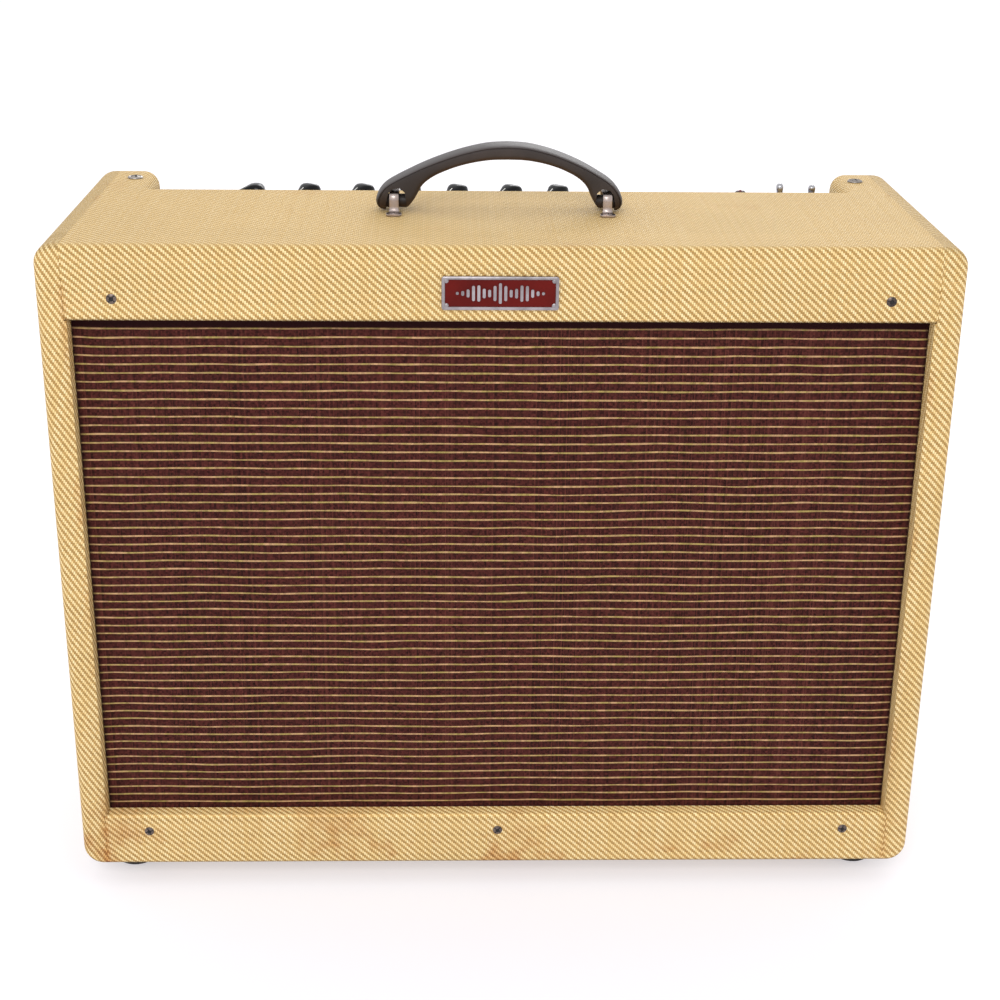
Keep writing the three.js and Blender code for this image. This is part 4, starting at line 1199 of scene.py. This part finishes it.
def power_valve(number):
    """A glass power valve hanging by its base, with its plates inside, and its socket."""
    node, name = f"power_tube_{number}", f"power_valve_{number}"
    (cx, cy, _), r, low, high = upright(node)
    r, tall = r - 0.1, high - low
    centre = (cx, cy, high)  # heights below are from the top of the base down
    base = [[0, -0.2], [r - 2.2, -0.2], [r - 1.2, -1], [r - 1.2, -20], [r - 0.6, -21], [r - 0.6, -24.5],
            [r - 1.4, -25.5], [0, -25.5]]
    parts = [lathe("base", base, BLACK_PLASTIC, centre)]
    dome = [[r * cos(a), 12 - tall - 11.9 * sin(a)] for a in arc(8)[:-1]]
    outer = [[r - 2.2, -25.7], [r - 1.4, -29], [r, -34], [r, 16 - tall]] + dome
    wall = 0.9
    inner = [[radius - wall, height + (wall if height < 10 - tall else 0)] for radius, height in outer[::-1]]
    tip = [[0.02, 0.1 - tall], [0.02, 1.1 - tall]]
    glass = lathe(f"{name}_glass", outer + tip + inner, GLASS, centre)

    plate_low, plate_high = 26 - tall, -38
    plate = [(-11.5, -3), (-9.5, -5), (-4, -5.6), (-3.2, -7.6), (3.2, -7.6), (4, -5.6), (9.5, -5), (11.5, -3)]
    plate += [(-x, -y) for x, y in plate]
    ends = 1 - 0.7 / 12  # the plate is a little smaller at its ends
    stations = (plate_low, ends), (plate_low + 1.5, 1), (plate_high - 1.5, 1), (plate_high, ends)
    sections = [[cab(cx + x * size, cy + y * size, high + z) for x, y in plate] for z, size in stations]
    parts.append(loft("plate", sections, FERRITE, sharp=30))
    parts += [lathe("mica", ring_of(14.4, 0, z, z + 0.5), BOARD_LOOK, centre, segments=24)
              for z in (plate_low - 2.5, plate_high + 2)]
    parts += [lathe("rod", ring_of(0.7, 0, plate_low - 7, -26), NICKEL, (cx + x, cy + y, high), segments=12)
              for x, y in ((-9.8, 0), (9.8, 0), (0, -9.4), (0, 9.4))]
    parts.append(lathe("getter", ring_of(4.4, 3.2, 15.5 - tall, 17 - tall), NICKEL, centre, segments=24))
    finish(joined(f"{name}_base", parts), "cabinet", "tube_glass", node)
    finish(glass, "cabinet", "tube_glass", node)

    socket = f"power_tube_socket_{number}"
    centre, r, low, high = upright(socket)
    halfway = (low + high) / 2
    profile = [[0, high - 0.2], [r - 0.4, high - 0.2], [r - 0.2, high - 0.8], [r - 0.4, halfway],
               [r - 4.2, halfway - 0.4], [r - 4.6, low + 0.6], [r - 5.4, low + 0.2], [0, low + 0.2]]
    finish(lathe(f"{name}_socket", profile, BLACK_PLASTIC, centre), "cabinet", "black_moulding", socket)


def shield_can(number):
    """An aluminium can over a small valve, with its bayonet rim and open end."""
    node = f"preamp_tube_{number}"
    centre, r, low, high = upright(node)
    r -= 0.1
    can = [[0, high - 0.2], [r, high - 0.2], [r, high - 2.4], [12.6, high - 3.2], [12.6, high - 12],
           [12.1, high - 12.6], [11.6, high - 14], [11.6, high - 17], [11.0, high - 18.2], [11.0, low + 5],
           [11.3, low + 4.2], [11.3, low + 3], [10.6, low + 1.6], [9.4, low + 0.4], [6.6, low + 0.2],
           [6.2, low + 0.8], [6.2, low + 3], [0, low + 3]]
    tip = [[0, low + 0.6], [1.2, low + 1.0], [3.6, low + 2.2], [5.6, low + 3.2], [0, low + 3.3]]
    parts = [lathe("can", can, ZINC, centre), lathe("tip", tip, GLASS, centre, segments=24)]
    finish(joined(f"shield_can_{number}", parts), "cabinet", "tube_shield", node)


def transformer(name, node):
    """A laminated core between two pressed end bells, held by four bolts at each end."""
    (x0, y0, z0), (x1, y1, z1) = extent(node)
    front, back = y0 + (y1 - y0) * 0.33, y1 - (y1 - y0) * 0.33  # the core's two faces
    parts = [rounded_box("core", (x0 + 0.1, front, z0 + 0.1), (x1 - 0.1, back, z1 - 0.1), 0.8, CORE)]
    for near, far, rim in ((y0 + 0.1, front, front - 2.2), (back, y1 - 0.1, back)):
        bell, flange = (x0 + 7, near, z0 + 7), (x0 + 2, rim, z0 + 2)
        parts.append(rounded_box("bell", bell, (x1 - 7, far, z1 - 0.4), 5.5, BLACK_PAINT, 5))
        parts.append(rounded_box("flange", flange, (x1 - 2, rim + 2.2, z1 - 0.3), 0.9, BLACK_PAINT))
    parts += [bolt_head(cab(x, y, z), (0, way, 0), 3, 3.6, NICKEL) for x in (x0 + 6, x1 - 6)
              for z in (z0 + 6, z1 - 6) for y, way in ((front - 2.3, -1), (back + 2.3, 1))]
    finish(joined(name, parts), "cabinet", "transformer_steel", node)


for number in (1, 2):
    power_valve(number)
for number in (1, 2, 3):
    shield_can(number)
transformer("mains_transformer", "power_transformer")
transformer("speaker_transformer", "output_transformer")


# ---- loudspeaker
def speaker():
    at = (0, 0, SPEAKER_Z)
    (_, front, _), (_, back, _) = extent("speaker_magnet")
    magnet = [[0, front + 0.1], [60, front + 0.1], [61, front + 1], [61, front + 6], [69, front + 6.4],
              [69.8, front + 7.4], [69.8, back - 9.4], [69, back - 8.4], [64, back - 8.2], [64, back - 1.2],
              [62.8, back - 0.1], [11, back - 0.1], [9, back - 1.6], [8.6, back - 12], [0, back - 12]]
    parts = [lathe("magnet", magnet, FERRITE, at, "y", 72),
             lathe("plate", ring_of(61.2, 60, front, front + 6.2), ZINC, at, "y", 72)]
    finish(joined("speaker_ferrite_magnet", parts), "cabinet", "speaker_magnet", "speaker_magnet")

    (_, front, _), (_, back, _) = extent("speaker_cone")
    face = [(138.6, front + 0.4)]
    for r in (136, 131, 126):  # the rolls of the surround
        face += [(r, front + 0.2), (r - 2.2, front + 2.6)]
    mouth, throat, root, steps = 121, 32, 79, 26  # the cone's two radii and its depth at the throat
    for i in range(steps + 1):
        share = i / steps
        ridge = 0.45 * sin(share * pi * 14) if 0.1 < share < 0.9 else 0
        depth = front + 2.6 + (root - front - 2.6) * (1 - (1 - share) ** 1.25)
        face.append((mouth - (mouth - throat) * share, depth + ridge))
    ring = face + [(31.2, root + 1), (31.2, back - 0.3), (31.9, back - 0.3)]
    ring += [(r + 0.3, y + 0.9) for r, y in reversed(face)]
    cone = lathe("speaker_paper_cone", ring, CONE, at, "y", 96)
    finish(cone, "speaker_membrane", "speaker_paper", "speaker_cone")

    (_, front, _), (_, back, _) = extent("speaker_dust_cap")
    shell = [[37 * cos(a), back - 0.2 - (back - front - 0.4) * sin(a)] for a in arc(10)[:-1]]
    ring = shell + [[0.05, front + 0.2], [0.05, front + 1.1]]
    ring += [[r - 0.9, y + 0.8] for r, y in reversed(shell[1:])] + [[36, back - 0.2]]
    cap = lathe("speaker_dome_cap", ring, CONE, at, "y", 72)
    finish(cap, "speaker_membrane", "speaker_paper", "speaker_dust_cap")

    bolt_ring = 147.6
    bolts = [bolt_head(cab(bolt_ring * c, 34, SPEAKER_Z + bolt_ring * s), (0, 1, 0), 3.2, 4, ZINC)
             for c, s in circle(8)]
    gasket = lathe("gasket", ring_of(153.9, 140.8, 31.55, 31.9), CONE, at, "y", 96)
    finish(joined("speaker_mounting_bolts", bolts + [gasket]), "cabinet", "speaker_frame")


speaker()

# ---- CAD pieces that stay, with better materials
for node, look in (("chassis", CHROME), ("speaker_basket", FRAME_PAINT), ("reverb_tank", ZINC),
                   ("power_inlet", BLACK_PLASTIC), ("fuse_cap", BLACK_PLASTIC)):
    for place in frame["nodes"][node].material_slots:
        place.link, place.material = "OBJECT", look


# ---- stage, lights and camera
def stage():
    """A pale seamless floor that glows a little, as an evenly lit studio sweep does."""
    look = Look("studio_floor", specular_ior_level=0.0, emission_strength=1.0)
    cloudy = look.noise(look.place, 0.7, 2)
    look.set("Base Color", look.mix(cloudy, srgb(194, 193, 195), srgb(197, 196, 198)))
    look.set("Emission Color", look.mix(cloudy, srgb(188, 185, 188), srgb(190, 187, 190)))
    look.set("Roughness", cloudy * 0.1 + 0.85)
    reach = 40
    corners = [(-reach, -reach, 0), (reach, -reach, 0), (reach, reach, 0), (-reach, reach, 0)]
    mesh_object("studio_floor", corners, [[0, 1, 2, 3]], look.material)


def area_light(name, place, target, size, power):
    light = bpy.data.lights.new(name, "AREA")
    light.shape, light.size, light.size_y, light.energy = "RECTANGLE", *size, power
    linked(name, light).matrix_world = facing(Vector(place), Vector(place) - Vector(target))


stage()
area_light("key", (-0.4, -2.45, 2.1), (0, 0, 0.2), (1.2, 0.7), 28)
area_light("fill_back", (0.6, 2.4, 1.6), (0, 0, 0.25), (1.4, 1.0), 14)
world = bpy.data.worlds.new("studio_world")
world.use_nodes = True
world.node_tree.nodes["Background"].inputs["Color"].default_value = (0.97, 0.98, 1.0, 1)
world.node_tree.nodes["Background"].inputs["Strength"].default_value = 1.0
bpy.context.scene.world = world
bpy.context.scene.view_settings.view_transform = "Standard"

lens = bpy.data.cameras.new("photo_camera")
lens.lens, lens.sensor_width, lens.clip_end = 64.526, 36, 200
camera = linked("photo_camera", lens)
aim = turned(-1.62) @ turned(90 - 21.72, "X") @ turned(0.65)
camera.matrix_world = Matrix.Translation(cab(-32.393, -1112.922, 727.635)) @ aim
bpy.context.scene.camera = camera
